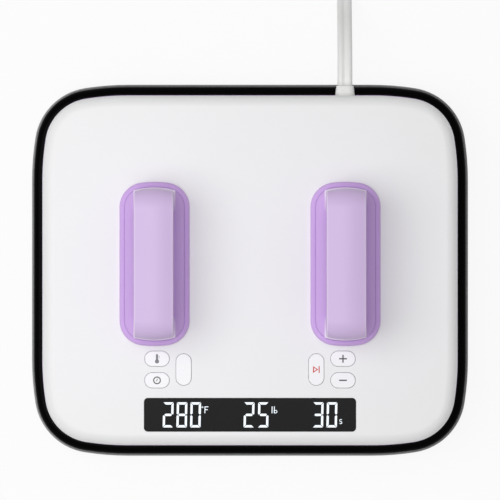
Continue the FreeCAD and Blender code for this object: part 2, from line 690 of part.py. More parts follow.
def make_stand():
    """The tray, its feet, the sheet in it and the rests on the sheet."""
    tray = new_body("stand_tray")
    layer(tray, "tray_under", "tray_height", lambda s: outline(s, "0"))
    soften(tray, "Fillet", "tray_wall * 0.7", level_edge(value("tray_under")))
    cut(tray, "tray_under + tray_height", "tray_height - tray_floor", lambda s: outline(s, "tray_wall"))
    soften(tray, "Fillet", "tray_wall * 0.3", level_edge(value("tray_under + tray_height")))
    cut(tray, "foot_height", "foot_seat", each(circle, FOOT_PLACES, "foot_radius + fit"))
    feet = new_body("stand_feet")
    layer(feet, "0", "foot_height", each(circle, FOOT_PLACES, "foot_radius"))
    soften(feet, "Chamfer", "foot_seat / 2", level_edge(0))
    liner = new_body("stand_liner")
    layer(liner, "floor_top", "liner_thickness", lambda s: outline(s, "tray_wall + liner_gap"))
    rests = new_body("stand_rests")
    layer(rests, "liner_top", "rest_height",
          each(rounded, REST_PLACES, "rest_length", "rest_width", "rest_width * 0.3"))


# The heated plate with its tube, insulation and load cells.

POSTS = corners("post_x", "post_y")


def make_plate():
    """The plate with the groove for the heating tube, the tube and its terminal studs."""
    plate = new_body("heat_plate")
    layer(plate, "plate_face", "plate_thickness",
          each(rounded, [("0", "0")], "plate_length", "plate_depth", "plate_corner"))
    soften(plate, "Chamfer", "plate_thickness * 0.15", level_edge(value("plate_face")))
    groove_end = "element_end_x - 2 * stud_radius - 4 * fit"
    spine = element_route(plate, groove_end)
    profile = new_sketch(plate, "YZ_Plane", f"-({groove_end})")
    rounded(profile, "element_y", "element_level + plate_thickness / 4",
            "2 * (element_radius + element_gap)",
            "2 * (element_radius + element_gap) + plate_thickness / 2", "element_radius / 4")
    document.recompute()
    follow(plate, "SubtractivePipe", profile, spine)
    cut(plate, "plate_top", "screw_grip + fit", each(circle, POSTS, "screw_radius"))
    tube = new_body("heating_element")
    spine = element_route(tube, "element_end_x")
    profile = new_sketch(tube, "YZ_Plane", "-element_end_x")
    circle(profile, "element_y", "element_level", "element_radius")
    document.recompute()
    follow(tube, "AdditivePipe", profile, spine)
    studs = new_body("element_terminals")
    stud_x = "(element_end_x - stud_radius - fit)"
    places = [(stud_x, "element_y"), (f"-{stud_x}", "element_y")]
    layer(studs, "element_level - element_radius", "stud_height + element_radius * 2",
          each(circle, places, "stud_radius"))


def make_insulation():
    """The blanket, the reflector sheet, the posts and the load cells between plate and deck."""
    wool = new_body("plate_insulation")
    layer(wool, "plate_top", "wool_thickness",
          each(rounded, [("0", "0")], "plate_length - 2 * wool_margin",
               "plate_depth - 2 * wool_margin", "plate_corner - wool_margin"))
    cut(wool, "wool_top", "wool_thickness", each(circle, POSTS, "post_radius + fit"))
    cut(wool, "wool_top", "wool_thickness",
        each(rounded, [("0", "window_y")], "window_length", "window_depth", "wool_margin"))
    shield = new_body("heat_shield")
    layer(shield, "wool_top", "shield_thickness",
          each(rounded, [("0", "0")], "plate_length", "plate_depth", "plate_corner"))
    cut(shield, "shield_top", "shield_thickness", each(circle, POSTS, "post_radius + fit"))
    cut(shield, "shield_top", "shield_thickness",
        each(pill, [("0", "element_y")], "slot_length", "slot_depth"))
    posts = new_body("plate_posts")
    layer(posts, "plate_top", "post_top - plate_top", each(circle, POSTS, "post_radius"))
    cut(posts, "post_top", "post_top - plate_top", each(circle, POSTS, "screw_radius + fit"))
    cells = new_body("load_cells")
    layer(cells, "post_top", "cell_thickness",
          each(rounded, POSTS, "cell_size", "cell_size", "cell_size / 10"))
    cut(cells, "deck_under", "cell_thickness", each(circle, POSTS, "screw_radius + fit"))
    fasteners("plate_screws", POSTS, "screw_radius", "plate_top - screw_grip",
              "deck_top - plate_top + screw_grip", "head_radius", "deck_top", "head_height")


# The casing: the black lower housing, the accent ring and the white cover.

COVER_SCREWS = corners("cover_screw_x", "cover_screw_y") + [
    ("side_screw_x", "0"), ("-side_screw_x", "0"), ("0", "middle_screw_y"), ("0", "-middle_screw_y")]
POWER_SCREWS = [(x, f"power_y {sign} power_screw_y")
                for x in ("power_screw_x", "-power_screw_x") for sign in "+-"]
BOARD_SCREWS = [(x, f"board_y {sign} board_screw_y")
                for x in ("board_screw_x", "-board_screw_x") for sign in "+-"]
HANDLE_SCREWS = {
    side: [(f"{sign}handle_x {a} handle_screw_x", f"handle_y {b} handle_screw_y")
           for a in "+-" for b in "+-"]
    for side, sign in (("left", "-"), ("right", ""))
}


def make_casing():
    """The two shells, the ring between them and the screws that join them."""
    lower = new_body("lower_housing")
    layer(lower, "skirt_base", "deck_top - skirt_base", lambda s: outline(s, "skirt_inset"))
    soften(lower, "Fillet", "skirt_round", level_edge(value("deck_top")))
    cut(lower, "deck_under", "deck_under - skirt_base",
        lambda s: outline(s, "skirt_inset + skirt_wall"))
    layer(lower, "deck_top", "power_lift", each(circle, POWER_SCREWS, "board_boss"))
    cut(lower, "deck_top + power_lift", "power_lift", each(circle, POWER_SCREWS, "small_screw"))
    cut(lower, "deck_top", "deck_thickness", each(circle, POSTS, "screw_radius + fit"))
    cut(lower, "deck_top", "deck_thickness", each(circle, COVER_SCREWS, "small_screw + fit"))
    cut(lower, "deck_top", "deck_thickness",
        each(pill, [("0", "element_y")], "slot_length", "slot_depth"))
    ring = new_body("accent_ring")
    layer(ring, "deck_top", "ring_height", lambda s: outline(s, "ring_inset"))
    cut(ring, "cover_base", "ring_height", lambda s: outline(s, "ring_inset + ring_width"))
    cover = new_body("top_cover")
    layer(cover, "cover_base", "cover_height", lambda s: outline(s, "cover_inset"))
    soften(cover, "Fillet", "cover_round", level_edge(value("cover_top")))
    cut(cover, "cover_ceiling", "cover_ceiling - cover_base",
        lambda s: outline(s, "cover_inset + cover_wall"))
    soften(cover, "Fillet", "cover_round - cover_wall", level_edge(value("cover_ceiling")))
    layer(cover, "deck_top", "cover_ceiling - deck_top", each(circle, COVER_SCREWS, "boss_radius"))
    layer(cover, "board_top", "cover_ceiling - board_top", each(circle, BOARD_SCREWS, "board_boss"))
    cut(cover, "deck_top + cover_screw_grip", "cover_screw_grip",
        each(circle, COVER_SCREWS, "small_screw"))
    cut(cover, "board_top + board_drop - small_screw", "board_drop - small_screw",
        each(circle, BOARD_SCREWS, "small_screw"))
    cut(cover, "cover_top", "display_seat",
        each(rounded, [("0", "display_y")], "display_length + 2 * fit", "display_depth + 2 * fit",
             "display_corner + fit"))
    cut(cover, "cover_top", "cover_wall",
        each(rounded, [("0", "display_y")], "display_length - 2 * display_margin",
             "display_depth - 2 * display_margin", "display_corner / 2"))
    for key in KEYS:
        cut(cover, "cover_top", "cover_wall", lambda s: key.draw(s, "2 * key_gap"))
    for places in HANDLE_SCREWS.values():
        cut(cover, "cover_top", "cover_wall", each(circle, places, "screw_radius + fit"))
    hole = new_sketch(cover, "XZ_Plane", "cover_wall + boot_flange - cover_side_y")
    pill(hole, "cord_x", "cord_exit", "boot_width + 2 * fit", "boot_height + 2 * fit")
    pocket = cover.newObject("PartDesign::Pocket", "top_cover_cord_hole")
    pocket.Profile = hole
    bind(pocket, "Length", "cover_wall + 2 * boot_flange")
    document.recompute()
    fasteners("cover_screws", COVER_SCREWS, "small_screw", "deck_under",
              "deck_thickness + cover_screw_grip", "small_head",
              "deck_under - small_head_height", "small_head_height")


class Key:
    """One button: its name, its place and its pill shaped cap."""

    def __init__(self, name, x, y, length, width, upright=False):
        self.name = name
        self.place = (x, y)
        self.length = length
        self.width = width
        self.upright = upright

    def draw(self, sketch, extra):
        """Draws the cap's shape, larger by an extra."""
        pill(sketch, *self.place, f"{self.length} + {extra}", f"{self.width} + {extra}", self.upright)

    def build(self):
        """The cap, the flange that keeps it under the cover and the stem over the switch."""
        body = new_body(self.name)
        flange_top = "cover_ceiling - key_slack"
        layer(body, flange_top, "cover_wall + key_slack + key_rise", lambda s: self.draw(s, "0"))
        soften(body, "Fillet", "key_rise", level_edge(value("cover_top + key_rise")))
        layer(body, f"{flange_top} - key_flange_height", "key_flange_height",
              lambda s: self.draw(s, "2 * key_flange"))
        stem_end = "switch_top + key_travel + stem_gap"
        layer(body, stem_end, f"{flange_top} - key_flange_height - ({stem_end})",
              lambda s: circle(s, *self.place, "key_stem"))


KEYS = (
    Key("temperature_button", "-key_x", "upper_key_y", "key_length", "key_width"),
    Key("timer_button", "-key_x", "lower_key_y", "key_length", "key_width"),
    Key("plus_button", "key_x", "upper_key_y", "key_length", "key_width"),
    Key("minus_button", "key_x", "lower_key_y", "key_length", "key_width"),
    Key("power_button", "-long_key_x", "long_key_y", "long_key_length", "long_key_width", True),
    Key("mode_button", "long_key_x", "long_key_y", "long_key_length", "long_key_width", True),
)


def make_controls():
    """The buttons, their switches, the display and the control board under the cover."""
    for key in KEYS:
        key.build()
    places = [key.place for key in KEYS]
    switches = new_body("key_switches")
    layer(switches, "board_top", "switch_height",
          each(rounded, places, "switch_size", "switch_size", "switch_size / 10"))
    layer(switches, "board_top + switch_height", "plunger_height",
          each(circle, places, "plunger_radius"))
    window = new_body("display_window")
    layer(window, "cover_top - display_seat", "display_thickness",
          each(rounded, [("0", "display_y")], "display_length", "display_depth", "display_corner"))
    module = new_body("display_module")
    layer(module, "board_top", "board_drop + cover_wall - display_seat - module_gap",
          each(rounded, [("0", "display_y")], "display_length - 2 * display_margin - 2 * fit",
               "display_depth - 2 * display_margin - 2 * fit", "display_corner / 2"))
    board = new_body("control_board")
    layer(board, "board_top - board_thickness", "board_thickness",
          each(rounded, [("0", "board_y")], "board_length", "board_depth", "board_boss"))
    cut(board, "board_top", "board_thickness", each(circle, BOARD_SCREWS, "small_screw + fit"))
    fasteners("control_board_screws", BOARD_SCREWS, "small_screw", "board_top - board_thickness",
              "board_thickness + board_drop - 2 * small_screw", "small_head",
              "board_top - board_thickness - small_head_height", "small_head_height")
    buzzer = new_body("buzzer")
    layer(buzzer, "board_top", "buzzer_height", each(circle, [("0", "buzzer_y")], "buzzer_radius"))


def make_power():
    """The power board on its bosses and what stands on it."""
    board = new_body("power_board")
    layer(board, "deck_top + power_lift", "board_thickness",
          each(rounded, [("0", "power_y")], "power_length", "power_depth", "board_boss"))
    cut(board, "power_board_top", "board_thickness",
        each(circle, POWER_SCREWS, "small_screw + fit"))
    fasteners("power_board_screws", POWER_SCREWS, "small_screw", "deck_top + small_screw",
              "power_board_top - deck_top - small_screw", "small_head", "power_board_top",
              "small_head_height")
    for component in COMPONENTS:
        name = component[0]
        body = new_body(name)
        layer(body, "power_board_top", f"{name}_height",
              each(rounded, [(f"{name}_x", f"{name}_y")], f"{name}_length", f"{name}_depth",
                   f"{name}_depth / 10"))


def make_handle(side, sign):
    """One handle: collar, pedestal, strap, soft pad and the steel brace under the cover."""
    middle = [(f"{sign}handle_x", "handle_y")]
    screws = HANDLE_SCREWS[side]
    collar = new_body(side + "_handle_collar")
    layer(collar, "cover_top", "collar_height",
          each(bowed, middle, "collar_width", "collar_length", "collar_corner", "collar_bow"))
    soften(collar, "Fillet", "collar_round", level_edge(value("cover_top + collar_height")))
    cut(collar, "cover_top + collar_height", "collar_height", each(bowed, middle, *drawn_in(
        "collar_band", "collar_width", "collar_length", "collar_corner", "collar_bow")))
    pedestal = new_body(side + "_handle_pedestal")
    layer(pedestal, "cover_top", "pedestal_height", each(bowed, middle, *drawn_in(
        "collar_band + fit", "collar_width", "collar_length", "collar_corner", "collar_bow")))
    soften(pedestal, "Fillet", "pedestal_round", level_edge(value("pedestal_top")))
    plan = ("grip_width", "grip_length", "grip_corner", "grip_bow")
    cut(pedestal, "pedestal_top", "pedestal_height - pedestal_seat",
        each(bowed, middle, *drawn_in("-fit", *plan)))
    cut(pedestal, "cover_top + pedestal_seat", "pedestal_seat",
        each(circle, screws, "screw_radius + fit"))
    grip = new_body(side + "_handle_grip")
    across(grip, f"{sign}handle_x", "grip_width",
           lambda s: strap(s, "handle_y", "pedestal_top", "grip_length / 2", "grip_top", "grip_bend",
                           "opening_length / 2", "opening_top", "opening_bend"))
    soften(grip, "Fillet", "grip_round", outer_grip_edge)
    cut(grip, "grip_top", "grip_height", lambda s: between(s, middle[0], plan))
    layer(grip, "cover_top + pedestal_seat", "pedestal_height - pedestal_seat",
          each(bowed, middle, *plan))
    cut(grip, "pedestal_top + handle_screw_grip",
        "pedestal_height - pedestal_seat + handle_screw_grip", each(circle, screws, "screw_radius"))
    pad = new_body(side + "_handle_pad")
    across(pad, f"{sign}handle_x", "pad_width",
           lambda s: strap(s, "handle_y", "pedestal_top", "opening_length / 2", "opening_top",
                           "opening_bend", "opening_length / 2 - pad_thickness",
                           "opening_top - pad_thickness", "opening_bend - pad_thickness"))
    brace = new_body(side + "_handle_brace")
    layer(brace, "cover_ceiling - brace_thickness", "brace_thickness",
          each(rounded, middle, "brace_width", "brace_length", "brace_width / 6"))
    cut(brace, "cover_ceiling", "brace_thickness", each(circle, screws, "screw_radius + fit"))


def outer_grip_edge(edge):
    """A test for the long outer edges of a strap, past its opening."""
    box = edge.BoundBox
    beside = abs(abs(box.XMin) - value("handle_x"))
    on_side = box.XLength < 1e-6 and abs(beside - value("grip_width / 2")) < 1e-6
    out = max(abs(box.YMin - value("handle_y")), abs(box.YMax - value("handle_y")))
    past_opening = out > value("opening_length / 2") + 1e-3 or box.ZMin > value("opening_top") + 1e-3
    return on_side and past_opening and box.ZMax > value("pedestal_top") + 1e-3


def make_strain_relief():
    """The moulded boot at the rear: an inner flange, a neck in the cover and a tapered end."""
    boot = new_body("strain_relief")
    inside = "cover_side_y - cover_wall"
    wide = ("boot_width + 2 * boot_flange", "boot_height + 2 * boot_flange")
    layer_y(boot, f"{inside} - boot_flange_depth", "boot_flange_depth",
            lambda s: pill(s, "cord_x", "cord_exit", *wide))
    layer_y(boot, inside, "cover_wall",
            lambda s: pill(s, "cord_x", "cord_exit", "boot_width", "boot_height"))
    root = new_sketch(boot, "XZ_Plane", "-cover_side_y")
    pill(root, "cord_x", "cord_exit", "boot_width", "boot_height")
    tip = new_sketch(boot, "XZ_Plane", "-boot_end_y")
    pill(tip, "cord_x", "cord_exit", "boot_tip_width", "boot_tip_height")
    document.recompute()
    taper = boot.newObject("PartDesign::AdditiveLoft", "strain_relief_taper")
    taper.Profile = root
    taper.Sections = [(tip, "")]
    document.recompute()


# Leads and cord. Each runs along straight stretches joined by tangent arcs.

def vector(x, y, z):
    """A place in the part's frame."""
    return FreeCAD.Vector(x, y, z)


def solid_part(label, shape):
    """A sub-part whose shape is made directly."""
    item = document.addObject("Part::Feature", label)
    item.Label = label
    item.Shape = shape
    item.Placement = FreeCAD.Placement()
    return item


def bent_route(points, bend=math.inf):
    """Edges through the points and the radii of the bends, each as wide as its runs allow."""
    edges, radii = [], []
    here = points[0]
    for before, corner, after in zip(points, points[1:], points[2:]):
        into, out = (corner - before).normalize(), (after - corner).normalize()
        half = into.getAngle(out) / 2
        shorter = min((corner - before).Length, (after - corner).Length)
        radius = min(0.45 * shorter / math.tan(half), bend)
        setback = radius * math.tan(half)
        start, finish = corner - into * setback, corner + out * setback
        middle = corner + (out - into).normalize() * (radius / math.cos(half) - radius)
        edges.append(Part.LineSegment(here, start).toShape())
        edges.append(Part.Arc(start, middle, finish).toShape())
        radii.append(round(radius, 1))
        here = finish
    edges.append(Part.LineSegment(here, points[-1]).toShape())
    return edges, radii


def lead(points, radius, bend):
    """A round insulated wire."""
    edges, radii = bent_route([vector(*p) for p in points], bend)
    start = edges[0].Vertexes[0].Point
    along = edges[0].tangentAt(edges[0].FirstParameter)
    ring = Part.Wire([Part.Circle(start, along, radius).toShape()])
    return Part.Wire(edges).makePipeShell([ring], True, False)


def make_leads():
    """The wires from cord to terminal block, from there to the plate, and from its sensors."""
    x, level = value("cord_x"), value("cord_exit")
    inner_y = value("cover_side_y - cover_wall - boot_flange_depth")
    block_x = value("terminal_block_x + terminal_block_length / 2")
    block_y = value("terminal_block_y")
    step, radius = value("cord_thickness / 2"), value("lead_radius")
    high = value("power_board_top + terminal_block_height / 2")
    mains = [lead([(x + side * step, inner_y, level),
                   (x + side * step, inner_y - 8 * radius, level),
                   (x + side * step, block_y - side * step, high),
                   (block_x, block_y - side * step, high)], radius, 4 * radius)
             for side in (-1, 1)]
    solid_part("mains_leads", Part.makeCompound(mains))
    stud_x = value("element_end_x - stud_radius - fit")
    stud_y = value("element_y")
    stud_top = value("plate_top + stud_height + element_gap")
    block_back = block_y + value("terminal_block_depth / 2")
    heater = [lead([(side * stud_x, stud_y, stud_top), (side * stud_x, stud_y, high),
                    (side * stud_x, block_back, high)], radius, 4 * radius)
              for side in (-1, 1)]
    solid_part("heater_leads", Part.makeCompound(heater))
    thin = value("thin_lead")
    sensor_back = value("sensor_y + sensor_depth / 2")
    sensor_high = value("plate_top + sensor_height / 2")
    board_back = value("power_y + power_depth / 2")
    board_level = value("power_board_top - board_thickness / 2")
    sensors = [lead([(side * value("sensor_x"), sensor_back, sensor_high),
                     (side * value("sensor_x"), stud_y - 4 * thin, sensor_high),
                     (side * value("sensor_x"), stud_y - 4 * thin, board_level),
                     (side * value("sensor_x"), board_back, board_level)], thin, 4 * thin)
               for side in (-1, 1)]
    solid_part("sensor_leads", Part.makeCompound(sensors))


def make_sensors():
    """The temperature sensor and the thermal cut-off on the plate, in the blanket's window."""
    for label, place in (("temperature_sensor", "-sensor_x"), ("thermal_cutoff", "sensor_x")):
        body = new_body(label)
        layer(body, "plate_top", "sensor_height",
              each(rounded, [(place, "sensor_y")], "sensor_width", "sensor_depth", "sensor_width / 5"))


def make_ribbon():
    """The flat ribbon that joins the control board to the power board."""
    ribbon = new_body("ribbon_cable")
    start_y, start_z = "board_y + board_depth / 2 - ribbon_overlap", "board_top - board_thickness"
    end_y = "power_y - power_depth / 2"
    sketch = new_sketch(ribbon, "YZ_Plane", "0")
    y0, z0 = value(start_y), value(start_z)
    y1, z1 = value(end_y), value("power_board_top - board_thickness")
    thick = value("ribbon_thickness")
    low = z1 + thick
    places = [(y0, z0), (y0 - thick, z0), (y0 - thick, z1), (y1, z1), (y1, low), (y0, low)]
    names = [(start_y, start_z), (f"{start_y} - ribbon_thickness", start_z),
             (f"{start_y} - ribbon_thickness", "power_board_top - board_thickness"),
             (end_y, "power_board_top - board_thickness"),
             (end_y, "power_board_top - board_thickness + ribbon_thickness"),
             (start_y, "power_board_top - board_thickness + ribbon_thickness")]
    count = len(places)
    sketch.addGeometry([line(*places[n], *places[(n + 1) % count]) for n in range(count)])
    rules = [rule("Coincident", n, 2, (n + 1) % count, 1) for n in range(count)]
    sizes = []
    for number, (y, z) in enumerate(names):
        sizes += [from_origin("X", number, 1, y), from_origin("Y", number, 1, z)]
    hold(sketch, rules, sizes)
    feature = ribbon.newObject("PartDesign::Pad", "ribbon_cable_layer")
    feature.Profile = sketch
    feature.Midplane = True
    bind(feature, "Length", "ribbon_width")
    document.recompute()


def flat_section(place, wide, thin):
    """The cord's flat section about a place, as a closed wire."""
    half = value("(cord_width - cord_thickness) / 2")
    radius = value("cord_thickness / 2")
    a, b, out = wide * half, thin * radius, wide * (half + radius)
    edges = [
        Part.LineSegment(place - a + b, place + a + b).toShape(),
        Part.Arc(place + a + b, place + out, place + a - b).toShape(),
        Part.LineSegment(place + a - b, place - a - b).toShape(),
        Part.Arc(place - a - b, place - out, place - a + b).toShape(),
    ]
    return Part.Wire(edges)


# Heights of the cord between the strain relief and the table, with their distance to the rear.
CORD_FALL = ((17, 0), (41, -10), (63, -31))
CORD_TOUCH = (83, 103)


def make_cord():
    """The free stretch: it falls to the table, runs on flat and turns on edge toward the coil."""
    x, exit_y, exit_z = value("cord_x"), value("boot_end_y"), value("cord_exit")
    rest = value("cord_thickness / 2")
    points = [vector(x, exit_y, exit_z)]
    points += [vector(x, exit_y + rear, exit_z + fall) for rear, fall in CORD_FALL]
    points += [vector(x, exit_y + rear, rest) for rear in CORD_TOUCH]
    edges, radii = bent_route(points)
    start = flat_section(points[0], vector(1, 0, 0), vector(0, 0, 1))
    tube = Part.Wire(edges).makePipeShell([start], True, False)
    twist_start = points[-1].y
    twist_end = value("coil_y - cord_width")
    half = value("(cord_width - cord_thickness) / 2")
    sections = []
    steps = 6
    for step in range(steps + 1):
        share = step / steps
        turn = math.radians(90 * share)
        height = rest + half * math.sin(turn) + value("coil_lift") * share
        place = vector(x, twist_start + (twist_end - twist_start) * share, height)
        wide = vector(math.cos(turn), 0, math.sin(turn))
        sections.append(flat_section(place, wide, vector(-wide.z, 0, wide.x)))
    twist = Part.makeLoft(sections, True, False)
    area = Part.Face(start).Area
    print("cord bends", radii, "mm, volume over section times length",
          round(tube.Volume / area / sum(e.Length for e in edges), 4),
          "twist", round(twist.Volume / area / (twist_end - twist_start), 4))
    solid_part("cord", tube.fuse(twist).removeSplitter())
    return sum(e.Length for e in edges) + twist_end - twist_start


def coil_place(turns):
    """Where the middle of the cord lies after a number of turns of the coil."""
    total = value("coil_turns")
    radius = value("coil_radius") - value("coil_pitch") * min(turns, total - turns)
    off_middle = abs(turns - total / 2)
    radius -= value("coil_dip") * max(0.0, min(1.0, 2 - 4 * off_middle))
    climb = max(0.0, min(1.0, 0.5 + (turns - total / 2) * 2))
    level = value("coil_lift + cord_width / 2") + value("coil_layer") * climb
    angle = 2 * math.pi * turns
    centre_x = value("cord_x - coil_radius")
    return vector(centre_x + radius * math.cos(angle), value("coil_y") + radius * math.sin(angle), level)


def biarc(start, into, finish, out):
    """Two arcs that join two places in the given directions."""
    span = finish - start
    both = into + out
    spread = 2 * (1 - into.dot(out))
    across_span = span.dot(both)
    if spread < 1e-9:
        reach = span.dot(span) / (2 * across_span)
    else:
        reach = (math.sqrt(across_span ** 2 + spread * span.dot(span)) - across_span) / spread
    first, last = start + into * reach, finish - out * reach
    middle = (first + last) * 0.5
    along = (last - first).normalize()
    edges = []
    for a, control, b, t0, t1 in ((start, first, middle, into, along), (middle, last, finish, along, out)):
        weight = math.sqrt((1 + min(1.0, t0.dot(t1))) / 2)
        crown = (a + control * (2 * weight) + b) * (1 / (2 + 2 * weight))
        edges.append(Part.Arc(a, crown, b).toShape())
    return edges


def coil_edges():
    """The whole path of the coil: in, down the turns and out again, and the end that leaves it."""
    total = value("coil_turns")
    stops = [0.0] + [0.125 + 0.25 * n for n in range(round(4 * total))] + [total]
    places = [coil_place(t) for t in stops]
    headings = []
    for turns in stops:
        angle = 2 * math.pi * turns
        headings.append(vector(-math.sin(angle), math.cos(angle), 0))
    middle = min(range(len(stops)), key=lambda n: abs(stops[n] - total / 2))
    reach = places[middle] - vector(value("cord_x - coil_radius"), value("coil_y"), 0)
    slope = 1.5 * value("coil_layer") / (math.pi * math.hypot(reach.x, reach.y))
    level = headings[middle]
    headings[middle] = vector(level.x, level.y, slope).normalize()
    start = places[0] - vector(0, value("cord_width"), 0)
    edges = [Part.LineSegment(start, places[0]).toShape()]
    for number in range(len(stops) - 1):
        edges += biarc(places[number], headings[number], places[number + 1], headings[number + 1])
    leave = vector(-1, 0, 0)
    over = places[-1] + leave * value("tail_over")
    edges.append(Part.LineSegment(places[-1], over).toShape())
    landed = vector(over.x - value("tail_drop"), over.y, value("plug_height / 2"))
    edges += biarc(over, leave, landed, leave)
    edges.append(Part.LineSegment(landed, landed + leave * value("cord_width")).toShape())
    return edges


def make_coil():
    """The cord's spare length in two layers of turns on edge, and its two ties."""
    edges = coil_edges()
    start = edges[0].Vertexes[0].Point
    section = flat_section(start, vector(0, 0, 1), vector(1, 0, 0))
    coil = Part.Wire(edges).makePipeShell([section], True, False)
    length = sum(e.Length for e in edges)
    samples, run = [], 0.0
    for edge in edges:
        count = max(2, int(edge.Length / 4))
        points = edge.discretize(count + 1)[:-1]
        for number, point in enumerate(points):
            samples.append((run + edge.Length * number / count, point))
        run += edge.Length
    thick, tall, apart = value("cord_thickness"), value("cord_width"), value("coil_radius")
    least = min(
        math.hypot(max(0.0, math.hypot(p.x - q.x, p.y - q.y) - thick),
                   max(0.0, abs(p.z - q.z) - tall))
        for i, (a, p) in enumerate(samples) for b, q in samples[i + 1:]
        if b - a > apart
    )
    area = Part.Face(section).Area
    print("coil", round(length), "mm, volume over section times length",
          round(coil.Volume / area / length, 4), "least gap to itself", round(least, 2), "mm")
    solid_part("cord_coil", coil)
    ties = []
    for quarter in (0.5, 0.75):
        here = [coil_place(quarter + n) for n in range(int(value("coil_turns") - quarter) + 1)]
        centre = vector(value("cord_x - coil_radius"), value("coil_y"), 0)
        reaches = [math.hypot(p.x - centre.x, p.y - centre.y) for p in here]
        slack, thick = value("tie_slack"), value("tie_thickness")
        inner = min(reaches) - value("cord_thickness / 2") - slack
        outer = max(reaches) + value("cord_thickness / 2") + slack
        low = value("coil_lift - fit")
        high = value("coil_lift + coil_layer + cord_width + fit")
        width = value("tie_width")
        outside = Part.makeBox(outer - inner + 2 * thick, width, high - low + 2 * thick,
                               vector(inner - thick, -width / 2, low - thick))
        inside = Part.makeBox(outer - inner, 2 * width, high - low, vector(inner, -width, low))
        tie = outside.cut(inside)
        tie.rotate(vector(0, 0, 0), vector(0, 0, 1), 360 * quarter)
        tie.translate(centre)
        ties.append(tie)
    solid_part("coil_ties", Part.makeCompound(ties))
    return length


def make_plug():
    """The two-blade plug at the end of the cord, lying on the table."""
    end = "(cord_x - coil_radius - tail_over - tail_drop - cord_width)"
    middle = "(coil_y + coil_radius)"
    body = new_body("plug_body")
    layer(body, "0", "plug_height",
          each(rounded, [(f"{end} - plug_length / 2", middle)], "plug_length", "plug_width",
               "plug_round"))
    blades = new_body("plug_blades")
    level = "plug_height / 2 - blade_width / 2"
    places = [(f"{end} - plug_length - blade_length / 2", f"{middle} {sign} blade_spacing / 2")
              for sign in "+-"]
    layer(blades, level, "blade_width",
          each(rounded, places, "blade_length", "blade_thickness", "blade_thickness / 4"))


def write_files():
    """Checks every object and writes each sub-part's shape."""
    document.recompute()
    for item in document.Objects:
        if "Invalid" in item.State or "Error" in item.State:
            raise ValueError(f"{item.Label} has failed")
    parts = [item for item in document.Objects
             if item.TypeId == "PartDesign::Body" or item.TypeId == "Part::Feature"]
    os.makedirs("parts", exist_ok=True)
    for item in parts:
        if item.Shape.isNull() or not item.Shape.isValid():
            raise ValueError(f"{item.Label} has no valid shape")
    for item in parts:
        item.Shape.exportStep(f"parts/{item.Label}.step")
    print(len(parts), "sub-parts")


make_stand()
make_plate()
make_insulation()
make_sensors()
make_casing()
make_controls()
make_power()
make_ribbon()
for side, sign in (("left", "-"), ("right", "")):
    make_handle(side, sign)
fasteners("handle_screws", HANDLE_SCREWS["left"] + HANDLE_SCREWS["right"], "screw_radius",
          "cover_ceiling - brace_thickness",
          "pedestal_top - cover_ceiling + brace_thickness + handle_screw_grip",
          "head_radius", "cover_ceiling - brace_thickness - head_height", "head_height")
make_strain_relief()
make_leads()
cord_length = make_cord() + make_coil()
print("cord from strain relief to plug", round(cord_length), "mm")
make_plug()
write_files()
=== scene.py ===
"""Dresses the handheld heat press on its stand: finishes, signs, display, cord, light and camera."""

import logging
import math
from dataclasses import dataclass
from enum import Enum
from typing import Iterator, Optional, Sequence

import bmesh
import bpy
from mathutils import Matrix, Vector

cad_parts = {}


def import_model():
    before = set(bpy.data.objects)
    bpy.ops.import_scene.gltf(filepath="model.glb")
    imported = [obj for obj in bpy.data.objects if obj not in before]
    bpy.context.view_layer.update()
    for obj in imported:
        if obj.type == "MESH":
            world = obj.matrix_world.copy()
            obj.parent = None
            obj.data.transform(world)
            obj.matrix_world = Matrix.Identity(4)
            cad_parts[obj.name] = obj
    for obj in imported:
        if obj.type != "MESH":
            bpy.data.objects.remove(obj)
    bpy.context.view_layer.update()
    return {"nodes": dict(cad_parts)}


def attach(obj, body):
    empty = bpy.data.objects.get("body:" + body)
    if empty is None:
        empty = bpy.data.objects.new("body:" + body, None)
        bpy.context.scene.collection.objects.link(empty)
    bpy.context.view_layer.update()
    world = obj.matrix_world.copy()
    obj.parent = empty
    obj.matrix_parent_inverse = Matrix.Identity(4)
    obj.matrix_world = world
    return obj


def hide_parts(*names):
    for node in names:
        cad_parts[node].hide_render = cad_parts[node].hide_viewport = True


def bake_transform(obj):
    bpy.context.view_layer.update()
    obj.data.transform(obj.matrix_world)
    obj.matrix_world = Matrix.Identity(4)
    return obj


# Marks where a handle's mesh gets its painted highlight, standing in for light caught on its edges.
PAINTED_HIGHLIGHT_MASK = "edge"
LOG = logging.getLogger("heat_press")
MM = 0.001
HANDLE_X = 73.9 * MM
RIGHT = Vector((1, 0, 0))
BACK = Vector((0, 1, 0))
UP = Vector((0, 0, 1))
WHITE = (1.0, 1.0, 1.0, 1.0)
Piece = bpy.types.Object
Socket = bpy.types.NodeSocket
Screen = tuple[int, int, int]
Point = tuple[float, float]
Place = tuple[float, float, float]
# A flat shape is its outline, then its holes' outlines.
Shape = Sequence[Sequence[Point]]


class Body(str, Enum):
    """The moving bodies that a piece can ride on."""

    STAND = "stand"
    PRESS = "press"
    TEMPERATURE = "temperature"
    TIMER = "timer"
    PLUS = "plus"
    MINUS = "minus"
    POWER = "power"
    MODE = "mode"


class Relief(Enum):
    """How a finish's surface is broken up."""

    GRAIN = "grain"
    BRUSHED = "brushed"
    FIBRE = "fibre"
    WEAVE = "weave"

    @property
    def stretch(self) -> Place:
        """How the grain is drawn out along X, Y and Z."""
        drawn = {Relief.BRUSHED: (0.04, 1.0, 1.0), Relief.FIBRE: (1.0, 0.35, 1.0)}
        return drawn.get(self, (1.0, 1.0, 1.0))


def linear(channel: int) -> float:
    """Turns one channel of a screen colour, from 0 to 255, into the value that a shader takes."""
    share = channel / 255
    return share / 12.92 if share <= 0.04045 else ((share + 0.055) / 1.055) ** 2.4


